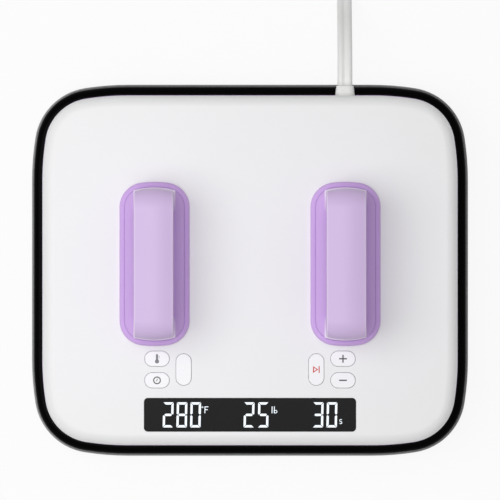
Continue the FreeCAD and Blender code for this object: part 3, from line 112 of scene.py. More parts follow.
def shader_colour(rgb: Screen, tone: float = 1.0) -> tuple[float, float, float, float]:
    """Turns a screen colour, its light multiplied by a tone, into an opaque shader colour."""
    red, green, blue = (linear(channel) * tone for channel in rgb)
    return red, green, blue, 1.0


class Bench:
    """A node tree with short ways to add and join nodes."""

    def __init__(self, tree: bpy.types.NodeTree) -> None:
        """Keeps the tree to work on."""
        self.tree = tree

    @classmethod
    def cleared(cls, owner: bpy.types.Material | bpy.types.World) -> "Bench":
        """Opens the empty node tree of a material or a world.

        Args:
            owner: whose tree it is.

        Returns:
            The bench.
        """
        owner.use_nodes = True
        owner.node_tree.nodes.clear()
        return cls(owner.node_tree)

    def add(self, kind: str, settings: dict | None = None, *first: object,
            **inputs: object) -> bpy.types.Node:
        """Adds a node and fills its inputs.

        Args:
            kind: the node's type name.
            settings: properties of the node itself.
            *first: what goes into its first inputs, in their order.
            **inputs: what goes into others by name, underscores standing for spaces.

        Returns:
            The new node.
        """
        node = self.tree.nodes.new(kind)
        for name, setting in (settings or {}).items():
            setattr(node, name, setting)
        for number, given in enumerate(first):
            self.feed(node, number, given)
        for name, given in inputs.items():
            self.feed(node, name.replace("_", " "), given)
        return node

    def feed(self, node: bpy.types.Node, name: str | int, given: object) -> None:
        """Sets one input to a value or links it to an output.

        Args:
            node: the node that takes it.
            name: the input's name or number.
            given: a value, an output socket, or a node that stands for its first output.
        """
        if isinstance(given, bpy.types.Node):
            given = given.outputs[0]
        if isinstance(given, Socket):
            self.tree.links.new(given, node.inputs[name])
        else:
            node.inputs[name].default_value = given

    def math(self, operation: str, first: object, second: object) -> Socket:
        """Joins two values or sockets by an operation of the Math node."""
        return self.add("ShaderNodeMath", {"operation": operation}, first, second).outputs[0]

    def mix(self, share: object, first: object, second: object) -> Socket:
        """Mixes two colours.

        Args:
            share: how much of the second colour there is.
            first: a colour or socket.
            second: a colour or socket.

        Returns:
            The mixed colour.
        """
        node = self.add("ShaderNodeMix", {"data_type": "RGBA"})
        for name, given in (("Factor_Float", share), ("A_Color", first), ("B_Color", second)):
            number = next(n for n, socket in enumerate(node.inputs) if socket.identifier == name)
            self.feed(node, number, given)
        return next(socket for socket in node.outputs if socket.identifier == "Result_Color")


def open_sockets(tree: bpy.types.NodeTree, inputs: dict[str, str],
                 outputs: dict[str, str]) -> dict[str, str]:
    """Names what goes into a node group and what comes out of it.

    Args:
        tree: the group's tree.
        inputs: the kind of every input by name.
        outputs: the kind of every output by name.

    Returns:
        The sockets' identifiers by name.
    """
    made = {}
    for way, kinds in (("INPUT", inputs), ("OUTPUT", outputs)):
        for name, kind in kinds.items():
            socket = tree.interface.new_socket(name, in_out=way, socket_type=f"NodeSocket{kind}")
            made[name] = socket.identifier
    return made


class SurfaceGroup:
    """The shader group that breaks up a colour and gives a height, shared by every finish."""

    NAME = "worked_surface"
    INPUTS = {"Vector": "Vector", "Colour": "Color", "Shade": "Color", "Grain": "Float",
              "Stretch": "Vector", "Blotch": "Float", "Roughness": "Float", "Spread": "Float"}
    OUTPUTS = {"Colour": "Color", "Roughness": "Float", "Height": "Float"}
    FINE = {"Detail": 3.0, "Roughness": 0.55}
    WIDE = {"Detail": 4.0, "Roughness": 0.6}
    MIDDLE = 0.5

    def __init__(self) -> None:
        """Builds the group: a fine noise for the height and a wide one for colour and roughness."""
        self.tree = bpy.data.node_groups.new(self.NAME, "ShaderNodeTree")
        open_sockets(self.tree, self.INPUTS, self.OUTPUTS)
        bench = Bench(self.tree)
        given = bench.add("NodeGroupInput").outputs
        stretched = bench.add("ShaderNodeVectorMath", {"operation": "MULTIPLY"}, given["Vector"],
                              given["Stretch"])
        fine = bench.add("ShaderNodeTexNoise", Vector=stretched, Scale=given["Grain"], **self.FINE)
        wide = bench.add("ShaderNodeTexNoise", Vector=given["Vector"], Scale=given["Blotch"],
                         **self.WIDE)
        swing = bench.math("MULTIPLY", bench.math("SUBTRACT", wide, self.MIDDLE), given["Spread"])
        bench.add("NodeGroupOutput", Colour=bench.mix(wide, given["Colour"], given["Shade"]),
                  Roughness=bench.math("ADD", given["Roughness"], swing), Height=fine)


@dataclass(frozen=True)
class Finish:
    """One surface finish and how it is made.

    Its second colour, in blotches, is the first one multiplied by tone. A painted highlight colour, where
    given, is mixed in where the mesh's edge attribute is set, as a painted highlight on edges. Where slot
    is set it is the record's slot that the finish belongs to, empty for what is only printed.
    """

    name: str
    rgb: Screen
    roughness: float
    tone: float = 0.93
    metallic: float = 0.0
    relief: Relief = Relief.GRAIN
    grain: float = 900.0
    depth: float = 0.00002
    blotch: float = 18.0
    spread: float = 0.06
    bump: float = 0.6
    glow: float = 0.0
    mirror: float = 0.5
    painted_highlight: Optional[Screen] = None
    slot: Optional[str] = None

    def height(self, bench: Bench, place: Socket, grain: Socket) -> Socket:
        """The height that the bump is made from.

        Args:
            bench: the material's tree.
            place: the place on the object.
            grain: the shared group's height.

        Returns:
            The grain, or the crossing threads of a weave.
        """
        if self.relief is not Relief.WEAVE:
            return grain
        warp, weft = (bench.add("ShaderNodeTexWave", {"bands_direction": way}, Vector=place,
                                Scale=self.grain).outputs["Fac"] for way in "XY")
        return bench.math("MAXIMUM", warp, weft)

    def build(self, group: SurfaceGroup) -> bpy.types.Material:
        """Makes the material.

        Args:
            group: the shared surface group.

        Returns:
            The material.
        """
        material = bpy.data.materials.new(self.name)
        bench = Bench.cleared(material)
        first = shader_colour(self.rgb)
        place = bench.add("ShaderNodeTexCoord").outputs["Object"]
        surface = bench.add("ShaderNodeGroup", {"node_tree": group.tree}, Vector=place, Colour=first,
                            Shade=shader_colour(self.rgb, self.tone), Grain=self.grain,
                            Stretch=self.relief.stretch, Blotch=self.blotch, Roughness=self.roughness,
                            Spread=self.spread).outputs
        colour = surface["Colour"]
        # Painted highlight: a paler colour mixed in by the edge attribute, standing in for light caught
        # on edges.
        if self.painted_highlight:
            edge = bench.add("ShaderNodeAttribute", {"attribute_name": PAINTED_HIGHLIGHT_MASK})
            colour = bench.mix(edge.outputs["Fac"], colour, shader_colour(self.painted_highlight))
        bump = bench.add("ShaderNodeBump", Height=self.height(bench, place, surface["Height"]),
                         Strength=self.bump, Distance=self.depth)
        shader = bench.add("ShaderNodeBsdfPrincipled", Base_Color=colour, Roughness=surface["Roughness"],
                           Metallic=self.metallic, Normal=bump, Specular_IOR_Level=self.mirror)
        if self.glow:
            bench.feed(shader, "Emission Color", first)
            bench.feed(shader, "Emission Strength", self.glow)
        bench.add("ShaderNodeOutputMaterial", Surface=shader)
        material.diffuse_color = first
        return material


FINISHES = (
    Finish("stand_plastic", (158, 158, 160), 0.55, depth=0.00004, tone=0.88),
    Finish("stand_sheet", (150, 148, 143), 0.85, relief=Relief.WEAVE, grain=420.0, depth=0.0002),
    Finish("silicone", (58, 58, 60), 0.7, depth=0.00003),
    Finish("plate_coating", (52, 52, 54), 0.38, metallic=0.35, grain=1400.0, depth=0.00005, spread=0.12),
    Finish("bare_steel", (176, 178, 182), 0.34, metallic=1.0, relief=Relief.BRUSHED, spread=0.15),
    Finish("zinc_steel", (190, 192, 198), 0.26, metallic=1.0, spread=0.15),
    Finish("bare_aluminium", (198, 200, 203), 0.32, metallic=1.0, relief=Relief.BRUSHED, spread=0.12),
    Finish("mineral_wool", (226, 219, 200), 0.95, tone=0.78, relief=Relief.FIBRE, grain=500.0,
           depth=0.0006, blotch=60.0),
    Finish("black_gloss", (3, 3, 4), 0.12, mirror=0.018, depth=0.000005, spread=0.02),
    Finish("white_gloss", (241, 241, 242), 0.36, tone=0.99, mirror=0.35, depth=0.000004, spread=0.03),
    Finish("key_white", (244, 244, 246), 0.32, tone=0.985, depth=0.000006, spread=0.04),
    # The pale colour given last to lavender is a painted highlight on the handles' edges and feet.
    Finish("lavender", (216, 192, 233), 0.4, tone=0.97, grain=1500.0, depth=0.00001, spread=0.08,
           mirror=0.2, painted_highlight=(243, 232, 250)),
    # A darker, more saturated copy of lavender, the same material, for the mounts and the bead: painted
    # shade.
    Finish("lavender_painted_shade", (215, 180, 238), 0.45, tone=0.97, grain=1500.0, depth=0.00001, spread=0.08,
           mirror=0.05, slot="lavender"),
    Finish("lavender_soft", (168, 138, 196), 0.62, depth=0.00003),
    Finish("display_black", (27, 27, 28), 0.12, tone=0.98, mirror=0.035, depth=0.000002, spread=0.02),
    Finish("dark_plastic", (38, 38, 40), 0.5, depth=0.00003),
    Finish("board", (24, 88, 52), 0.4, tone=0.7, relief=Relief.WEAVE, grain=800.0, depth=0.00004),
    Finish("ceramic", (232, 226, 212), 0.35, tone=0.94),
    Finish("relay_blue", (42, 80, 150), 0.45),
    Finish("cord_white", (240, 240, 239), 0.38, tone=0.97, depth=0.00001),
    Finish("lead_sleeve", (222, 216, 200), 0.6, tone=0.85, relief=Relief.WEAVE, depth=0.00006),
    Finish("brass", (206, 178, 110), 0.3, metallic=1.0, relief=Relief.BRUSHED, spread=0.15),
    Finish("tie_black", (30, 30, 32), 0.7, relief=Relief.WEAVE, grain=700.0, depth=0.0001),
    Finish("sign_grey", (120, 121, 123), 0.5, slot=""),
    Finish("sign_dark", (62, 63, 65), 0.5, slot=""),
    Finish("sign_pale", (252, 252, 252), 0.5, tone=0.99, slot=""),
    Finish("sign_red", (206, 48, 46), 0.45, slot=""),
    Finish("digit_light", (236, 244, 250), 0.4, tone=1.0, glow=0.3, slot=""),
)


class Palette:
    """The built materials by name."""

    def __init__(self) -> None:
        """Builds the shared group and every finish."""
        group = SurfaceGroup()
        self.finishes = {finish.name: finish for finish in FINISHES}
        self.materials = {finish.name: finish.build(group) for finish in FINISHES}

    def dress(self, piece: Piece, name: str) -> None:
        """Args:
            piece: the object.
            name: the finish's name.
        """
        slots = piece.data.materials
        for number in range(len(slots)):
            slots[number] = self.materials[name]
        if not slots:
            slots.append(self.materials[name])
        slot = self.finishes[name].slot
        if slot != "":
            slot or name
        LOG.info("%s: %s", piece.name, name)

    def settle(self, piece: Piece, name: str, body: Body, *nodes: str,
               sharp: Optional[float] = None) -> None:
        """Gives a new piece its finish and its body, and hides the CAD nodes that it replaces.

        Args:
            piece: the object.
            name: the finish's name.
            body: the body that it rides on.
            *nodes: the CAD nodes that it replaces.
            sharp: the angle in degrees from which its edges are sharp.
        """
        if sharp:
            piece.data.set_sharp_from_angle(angle=math.radians(sharp))
        self.dress(piece, name)
        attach(piece, body.value)
        if nodes:
            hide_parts(*nodes)


def linked(name: str, data: bpy.types.ID) -> Piece:
    """Puts a mesh, lamp, camera or curve into the scene as an object.

    Args:
        name: the object's name.
        data: its mesh, lamp, camera or curve.

    Returns:
        The object.
    """
    piece = bpy.data.objects.new(name, data)
    bpy.context.scene.collection.objects.link(piece)
    return piece


def worked(name: str, work: bmesh.types.BMesh) -> Piece:
    """Makes an object of a mesh that was worked on, and frees the latter.

    Args:
        name: the piece's name.
        work: the worked mesh.

    Returns:
        The linked object.
    """
    mesh = bpy.data.meshes.new(name)
    work.to_mesh(mesh)
    work.free()
    return linked(name, mesh)


def as_mesh(name: str, points: Sequence[Sequence[float]], faces: Sequence[Sequence[int]],
            smooth: bool = False) -> Piece:
    """Makes an object from points and faces, with its outside turned out.

    Args:
        name: the piece's name.
        points: its corners, in metres in the object's frame.
        faces: rows of point numbers.
        smooth: whether its faces are shaded smooth.

    Returns:
        The linked object.
    """
    work = bmesh.new()
    corners = [work.verts.new(point) for point in points]
    for face in faces:
        work.faces.new([corners[number] for number in face]).smooth = smooth
    bmesh.ops.recalc_face_normals(work, faces=work.faces)
    return worked(name, work)


def joined(name: str, parts: Sequence[Piece]) -> Piece:
    """Makes one piece of several.

    Args:
        name: the piece's name.
        parts: the objects that it takes in, which are removed.

    Returns:
        The piece.
    """
    work = bmesh.new()
    for part in parts:
        taken = part.data
        work.from_mesh(taken)
        bpy.data.objects.remove(part)
        bpy.data.meshes.remove(taken)
    return worked(name, work)


def prism(name: str, outline: Sequence[Point], low: float, high: float,
          holes: Sequence[Sequence[Point]] = ()) -> Piece:
    """Makes a flat closed piece from an outline seen from above.

    Args:
        name: the piece's name.
        outline: its edge, X and Y in metres.
        low: the height of its underside.
        high: the height of its top.
        holes: the edges of its holes.

    Returns:
        The piece.
    """
    work = bmesh.new()
    edges = []
    for ring in (outline, *holes):
        corners = [work.verts.new((x, y, low)) for x, y in ring]
        edges += [work.edges.new((a, b)) for a, b in zip(corners, corners[1:] + corners[:1])]
    filled = bmesh.ops.triangle_fill(work, edges=edges, use_beauty=True)
    flat = [item for item in filled["geom"] if isinstance(item, bmesh.types.BMFace)]
    raised = bmesh.ops.extrude_face_region(work, geom=flat)
    lifted = [item for item in raised["geom"] if isinstance(item, bmesh.types.BMVert)]
    bmesh.ops.translate(work, vec=(0, 0, high - low), verts=lifted)
    bmesh.ops.recalc_face_normals(work, faces=work.faces)
    return worked(name, work)


def stacked(name: str, rings: Sequence[Sequence[Sequence[float]]],
            hollow: bool = False) -> Piece:
    """Makes a closed piece, shaded smooth, from rings of points one after the other.

    Args:
        name: the piece's name.
        rings: rows of points, all of one length.
        hollow: whether the last ring joins the first, which leaves the middle open.

    Returns:
        The piece.
    """
    count = len(rings[0])
    points = [point for ring in rings for point in ring]
    pairs = list(zip(range(len(rings)), range(1, len(rings))))
    ends = []
    if hollow:
        pairs.append((len(rings) - 1, 0))
    else:
        ends = [list(range(count)), list(range(len(points) - count, len(points)))]
    faces = [[a * count + k, a * count + (k + 1) % count, b * count + (k + 1) % count, b * count + k]
             for a, b in pairs for k in range(count)]
    return as_mesh(name, points, faces + ends, smooth=True)


def arc_points(x: float, y: float, radius: float, start: float, end: float, count: int) -> list[Point]:
    """Points along an arc.

    Args:
        x: the centre's X.
        y: the centre's Y.
        radius: the radius.
        start: the first angle in degrees.
        end: the last angle in degrees.
        count: how many steps.

    Returns:
        The points, both ends among them.
    """
    angles = (math.radians(start + (end - start) * n / count) for n in range(count + 1))
    return [(x + radius * math.cos(a), y + radius * math.sin(a)) for a in angles]


def ring_points(x: float, y: float, radius: float, count: int = 40) -> list[Point]:
    """Points round a circle about a centre, the last not repeating the first."""
    return arc_points(x, y, radius, 0, 360, count)[:-1]


def half_turned(half: Sequence[Point], x: float = 0.0, y: float = 0.0) -> list[Point]:
    """Makes an outline about a middle from one half of it and the same half turned round."""
    return [(x + way * u, y + way * v) for way in (1, -1) for u, v in half]


def bowed_outline(x: float, y: float, half_width: float, half_length: float, corner: float, bow: float,
                  corner_steps: int = 18, bow_steps: int = 16) -> list[Point]:
    """The outline of a handle's mount: straight sides, bowed ends and round corners.

    Args:
        x: the middle's X.
        y: the middle's Y.
        half_width: from the middle to a side.
        half_length: from the middle to an end.
        corner: the corners' radius.
        bow: the ends' radius.
        corner_steps: steps round each corner.
        bow_steps: steps along each end.

    Returns:
        The outline, counterclockwise from the right side.
    """
    hub = half_length - bow
    across = half_width - corner
    along = hub + math.sqrt((bow - corner) ** 2 - across ** 2)
    turn = math.degrees(math.atan2(along - hub, across))
    end = arc_points(across, along, corner, 0, turn, corner_steps)
    end += arc_points(0.0, hub, bow, turn, 180 - turn, bow_steps)[1:-1]
    end += arc_points(-across, along, corner, 180 - turn, 180, corner_steps)
    return half_turned(end, x, y)


def pill_ring(centre: Vector, wide: Vector, width: float, height: float, corner: float,
              steps: int = 8) -> list[Vector]:
    """Points round an upright rectangle with round corners.

    Args:
        centre: its middle.
        wide: the direction of its width.
        width: its width.
        height: its height.
        corner: the corners' radius.
        steps: steps round each corner.

    Returns:
        The ring.
    """
    u, v = width / 2 - corner, height / 2 - corner
    flat: list[Point] = []
    for number, (x, y) in enumerate(((u, v), (-u, v), (-u, -v), (u, -v))):
        flat += arc_points(x, y, corner, 90 * number, 90 * number + 90, steps)
    return [centre + wide * x + UP * y for x, y in flat]


def rounded_edge(inset: float, top: float, radius: float, step: int, way: int = 1) -> list[Point]:
    """The rounding of an upper edge, from the side up.

    Args:
        inset: how far the side is drawn in.
        top: the height of the top.
        radius: the rounding's radius.
        step: degrees from one place to the next.
        way: 1 where the top lies further in than the side, -1 where it lies further out.

    Returns:
        For each place how far it is drawn in and how high it is.
    """
    turns = [math.radians(angle) for angle in range(0, 91, step)]
    return [(inset + way * radius * (1 - math.cos(turn)), top - radius * (1 - math.sin(turn)))
            for turn in turns]


def ribbon(path: Sequence[Point], width: float) -> list[Point]:
    """The outline of a stroke of even width along a path.

    Args:
        path: the stroke's middle line.
        width: its width.

    Returns:
        The closed outline.
    """
    left: list[Point] = []
    right: list[Point] = []
    for number, (x, y) in enumerate(path):
        before = Vector(path[max(number - 1, 0)])
        after = Vector(path[min(number + 1, len(path) - 1)])
        ahead = (after - before).normalized()
        left.append((x - ahead.y * width / 2, y + ahead.x * width / 2))
        right.append((x + ahead.y * width / 2, y - ahead.x * width / 2))
    return left + right[::-1]


class RowGroup:
    """The geometry group that repeats one rounded bar along a line."""

    NAME = "bar_row"
    INPUTS = {"Count": "Int", "Step": "Vector", "Length": "Float", "Width": "Float", "Height": "Float",
              "Corner": "Float", "Material": "Material"}
    CORNER_STEPS = 4
    SAME_PLACE = 0.001 * MM

    def __init__(self) -> None:
        """Builds the group: one bar, set out along a line of points."""
        self.tree = bpy.data.node_groups.new(self.NAME, "GeometryNodeTree")
        self.sockets = open_sockets(self.tree, self.INPUTS, {"Geometry": "Geometry"})
        bench = Bench(self.tree)
        given = bench.add("NodeGroupInput").outputs
        plan = bench.add("GeometryNodeCurvePrimitiveQuadrilateral", Width=given["Length"],
                         Height=given["Width"])
        soft = bench.add("GeometryNodeFilletCurve", {"mode": "POLY"}, Curve=plan,
                         Radius=given["Corner"], Count=self.CORNER_STEPS)
        face = bench.add("GeometryNodeFillCurve", {"mode": "NGONS"}, Curve=soft)
        raised = bench.add("GeometryNodeExtrudeMesh", Mesh=face, Offset_Scale=given["Height"],
                           Individual=False)
        under = bench.add("GeometryNodeFlipFaces", Mesh=face)
        whole = bench.add("GeometryNodeJoinGeometry")
        for half in (under, raised):
            bench.feed(whole, 0, half)
        bar = bench.add("GeometryNodeMergeByDistance", Geometry=whole, Distance=self.SAME_PLACE)
        row = bench.add("GeometryNodeMeshLine", {"mode": "OFFSET"}, Count=given["Count"],
                        Offset=given["Step"])
        set_out = bench.add("GeometryNodeInstanceOnPoints", Points=row, Instance=bar)
        real = bench.add("GeometryNodeRealizeInstances", Geometry=set_out)
        dressed = bench.add("GeometryNodeSetMaterial", Geometry=real, Material=given["Material"])
        bench.add("NodeGroupOutput", Geometry=dressed)

    def row(self, name: str, place: Vector, spin: float = 0.0, **values: object) -> Piece:
        """Makes one row of bars as a plain mesh.

        Args:
            name: the row's name.
            place: where the first bar's underside has its middle.
            spin: degrees by which the row is turned about its first bar's X axis.
            **values: what goes into the group's inputs, by name.

        Returns:
            The row.
        """
        carrier = linked(name, bpy.data.meshes.new(name))
        modifier = carrier.modifiers.new(self.NAME, "NODES")
        modifier.node_group = self.tree
        for label, value in values.items():
            modifier[self.sockets[label]] = value
        bpy.context.view_layer.update()
        real = bpy.data.meshes.new_from_object(carrier.evaluated_get(
            bpy.context.evaluated_depsgraph_get()))
        carrier.modifiers.clear()
        real.transform(Matrix.Translation(place) @ Matrix.Rotation(math.radians(spin), 4, "X"))
        empty = carrier.data
        carrier.data = real
        bpy.data.meshes.remove(empty)
        return carrier


@dataclass
class CordRoute:
    """The flat cord's way from the strain relief to the plug, in metres."""

    x: float = 73.8 * MM
    exit_y: float = 143.4 * MM
    exit_z: float = 44 * MM
    fall: tuple[Point, ...] = ((17 * MM, 0.0), (41 * MM, -10 * MM), (63 * MM, -31 * MM))
    touch: tuple[float, ...] = (83 * MM, 103 * MM)
    width: float = 11.5 * MM
    thickness: float = 5.7 * MM
    twist_steps: int = 3
    coil_y: float = 311.5 * MM
    coil_radius: float = 70 * MM
    coil_turns: float = 4.25
    coil_pitch: float = 6.3 * MM
    coil_dip: float = 3.3 * MM
    coil_layer: float = 12.1 * MM
    coil_lift: float = 1.3 * MM
    tail_over: float = 28 * MM
    tail_drop: float = 62 * MM
    tail_ease: float = 8 * MM
    plug_middle: float = 9 * MM
    points_per_turn: int = 16
    line_steps: int = 6
    same_place: float = 0.2 * MM

    @property
    def exit(self) -> Vector:
        """The point where the cord leaves the strain relief."""
        return Vector((self.x, self.exit_y, self.exit_z))

    @property
    def end(self) -> Vector:
        """The point where the cord goes into the plug."""
        return self.control_points()[-1]

    @property
    def twist(self) -> tuple[float, float]:
        """The stretch of Y over which the cord turns on edge."""
        return self.exit_y + self.touch[-1], self.coil_y - self.width

    def turned(self, place: Vector) -> float:
        """How far the cord has turned on edge.

        Args:
            place: a place along it.

        Returns:
            The angle in radians.
        """
        start, end = self.twist
        share = (place.y - start) / (end - start)
        return math.radians(90 * min(1.0, max(0.0, share)))

    def coil_place(self, turns: float) -> Vector:
        """Where the control point of the coil lies after a number of turns.

        Args:
            turns: how many turns, from 0.

        Returns:
            The place, a little outside the line that it makes.
        """
        radius = self.coil_radius - self.coil_pitch * min(turns, self.coil_turns - turns)
        past_middle = turns - self.coil_turns / 2
        radius -= self.coil_dip * max(0.0, min(1.0, 2 - 4 * abs(past_middle)))
        climb = max(0.0, min(1.0, 0.5 + past_middle * 2))
        level = self.coil_lift + self.width / 2 + self.coil_layer * climb
        if 0 < turns < self.coil_turns:
            radius *= 2 / (1 + math.cos(2 * math.pi / self.points_per_turn))
        angle = 2 * math.pi * turns
        return Vector((self.x - self.coil_radius + radius * math.cos(angle),
                       self.coil_y + radius * math.sin(angle), level))

    def control_points(self) -> list[Vector]:
        """The spline's control points, in order from the exit to the plug.

        Returns:
            The points, in metres.
        """
        flat = self.thickness / 2
        points = [self.exit]
        points += [Vector((self.x, self.exit_y + rear, self.exit_z + drop)) for rear, drop in self.fall]
        points += [Vector((self.x, self.exit_y + rear, flat)) for rear in self.touch]
        start, end = self.twist
        for step in range(1, self.twist_steps + 1):
            share = step / self.twist_steps
            rise = (self.width - self.thickness) / 2 * math.sin(math.radians(90 * share))
            points.append(Vector((self.x, start + (end - start) * share,
                                  flat + rise + self.coil_lift * share)))
        count = round(self.coil_turns * self.points_per_turn)
        points += [self.coil_place(self.coil_turns * n / count) for n in range(count + 1)]
        last = points[-1]
        over = last.x - self.tail_over
        landed = over - self.tail_drop
        for x, z in ((last.x - self.tail_over / 2, last.z), (over - self.tail_ease, last.z),
                     (landed + self.tail_ease, self.plug_middle), (landed, self.plug_middle),
                     (landed - self.width, self.plug_middle)):
            points.append(Vector((x, last.y, z)))
        return points

    def line(self) -> list[Vector]:
        """The smooth line of the cord, read from its NURBS spline.

        Returns:
            The places along it, none twice.
        """
        curve = bpy.data.curves.new("cord_line", "CURVE")
        curve.dimensions = "3D"
        spline = curve.splines.new("NURBS")
        control = self.control_points()
        spline.points.add(len(control) - 1)
        for point, place in zip(spline.points, control):
            point.co = (*place, 1.0)
        spline.order_u = 3
        spline.use_endpoint_u = True
        spline.resolution_u = self.line_steps
        guide = linked("cord_line", curve)
        bpy.context.view_layer.update()
        drawn = bpy.data.meshes.new_from_object(guide)
        places = [vertex.co.copy() for vertex in drawn.vertices]
        bpy.data.meshes.remove(drawn)
        bpy.data.objects.remove(guide)
        bpy.data.curves.remove(curve)
        kept = places[:1]
        for place in places[1:]:
            if (place - kept[-1]).length > self.same_place:
                kept.append(place)
        return kept


@dataclass
class Cord:
    """The flat two-core cord as one tube, from the press to its plug."""

    palette: Palette
    route: CordRoute
    points_round: int = 13
    core_turn: float = 142.0
    stated_length: float = 1.958

    def section(self, wide: Vector, thin: Vector) -> list[Vector]:
        """The outline of two round cores side by side with a shallow groove between them.

        Args:
            wide: the direction across both cores.
            thin: the direction across one core.

        Returns:
            Offsets from the middle of the cord.
        """
        core = self.route.thickness / 2
        apart = self.route.width / 2 - core
        outline = []
        for side in (1, -1):
            for number in range(self.points_round):
                angle = math.radians(self.core_turn * (2 * number / (self.points_round - 1) - 1))
                across = side * (apart + core * math.cos(angle))
                outline.append(wide * across + thin * (side * core * math.sin(angle)))
        return outline

    def tube(self, line: Sequence[Vector]) -> Piece:
        """Sweeps the section along the line.

        Args:
            line: the places along the middle of the cord.

        Returns:
            The tube with closed ends.
        """
        rings = []
        for number, place in enumerate(line):
            ahead = (line[min(number + 1, len(line) - 1)] - line[max(number - 1, 0)]).normalized()
            turn = self.route.turned(place)
            side = Vector((ahead.y, -ahead.x, 0)).normalized()
            above = side.cross(ahead).normalized()
            wide = side * math.cos(turn) + above * math.sin(turn)
            thin = above * math.cos(turn) - side * math.sin(turn)
            rings.append([place + offset for offset in self.section(wide, thin)])
        return stacked("cord_jacket", rings)

    def build(self) -> None:
        line = self.route.line()
        tube = self.tube(line)
        self.palette.dress(tube, "cord_white")
        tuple(self.route.exit)
        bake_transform(tube)
        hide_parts("cord", "cord_coil")
        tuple(self.route.exit)


@dataclass
class DressedNodes:
    """CAD pieces that show as they are, each in its finish."""

    palette: Palette
    finishes: dict[str, tuple[str, ...]]
    nodes: dict[str, Piece]

    def build(self) -> None:
        """Gives every piece its finish."""
        for finish, names in self.finishes.items():
            for name in names:
                self.palette.dress(self.nodes[name], finish)


STAND_NODES = {
    "stand_plastic": ("stand_tray",),
    "stand_sheet": ("stand_liner",),
    "silicone": ("stand_feet", "stand_rests"),
    "brass": ("plug_blades",),
    "tie_black": ("coil_ties",),
}
HEATER_NODES = {
    "plate_coating": ("heat_plate",),
    "bare_steel": ("heating_element", "element_terminals"),
    "mineral_wool": ("plate_insulation",),
    "bare_aluminium": ("heat_shield", "load_cells"),
    "ceramic": ("plate_posts", "temperature_sensor", "thermal_cutoff"),
    "zinc_steel": ("plate_screws",),
}
CASING_NODES = {
    "black_gloss": ("lower_housing",),
    "white_gloss": ("top_cover",),
    "zinc_steel": ("cover_screws",),
}
CONTROL_NODES = {
    "key_white": ("temperature_button", "timer_button", "plus_button", "minus_button",
                  "power_button", "mode_button"),
    "display_black": ("display_window",),
    "dark_plastic": ("display_module", "key_switches", "buzzer"),
    "board": ("control_board",),
    "zinc_steel": ("control_board_screws",),
    "lead_sleeve": ("ribbon_cable",),
}
POWER_NODES = {
    "board": ("power_board",),
    "zinc_steel": ("power_board_screws",),
    "dark_plastic": ("transformer", "terminal_block"),
    "relay_blue": ("relay", "capacitor"),
    "bare_aluminium": ("triac_heatsink",),
    "ceramic": ("fuse",),
    "lead_sleeve": ("mains_leads", "heater_leads", "sensor_leads"),
}
HANDLE_NODES = {
    "lavender_soft": ("left_handle_pad", "right_handle_pad"),
    "bare_steel": ("left_handle_brace", "right_handle_brace"),
    "zinc_steel": ("handle_screws",),
}


@dataclass
class Boot:
    """The short ribbed strain relief at the rear of the cover."""

    palette: Palette
    route: CordRoute
    inner_y: float = 130.0 * MM
    flange_y: float = 133.0 * MM
    wall_y: float = 135.5 * MM
    root: Point = (15.5 * MM, 11.0 * MM)
    tip: Point = (13.5 * MM, 8.0 * MM)
    tip_chamfer: float = 0.4 * MM
    flange: float = 2.0 * MM
    groove: float = 0.35 * MM
    groove_width: float = 0.55 * MM
    grooves: int = 4
    side_flat: float = 0.02 * MM
    sharp: float = 35.0

    def ring(self, y: float, width: float, height: float) -> list[Vector]:
        """One section of the boot, with rounded ends, at a place along Y."""
        return pill_ring(Vector((self.route.x, y, self.route.exit_z)), RIGHT, width, height,
                         (height - self.side_flat) / 2)

    def taper(self, y: float, less: float = 0.0) -> list[Vector]:
        """A section of the tapered end.

        Args:
            y: where it lies.
            less: how far it is drawn in.

        Returns:
            The section's points.
        """
        share = (y - self.wall_y) / (self.route.exit_y - self.wall_y)
        width, height = (a + (b - a) * share - 2 * less for a, b in zip(self.root, self.tip))
        return self.ring(y, width, height)

    def build(self) -> None:
        """Makes the boot, which rides on the press."""
        width, height = self.root
        tip_y = self.route.exit_y
        rings = [self.ring(y, width + 2 * self.flange, height + 2 * self.flange)
                 for y in (self.inner_y, self.flange_y)]
        rings += [self.ring(y, width, height) for y in (self.flange_y, self.wall_y)]
        pitch = (tip_y - self.wall_y) / (self.grooves + 1)
        for number in range(1, self.grooves + 1):
            middle = self.wall_y + pitch * number
            for share, less in ((-0.5, 0.0), (-0.25, self.groove), (0.25, self.groove), (0.5, 0.0)):
                rings.append(self.taper(middle + self.groove_width * share, less))
        rings += [self.taper(tip_y - self.tip_chamfer), self.taper(tip_y, self.tip_chamfer)]
        boot = stacked("ribbed_boot", rings)
        self.palette.settle(boot, "cord_white", Body.PRESS, "strain_relief", sharp=self.sharp)


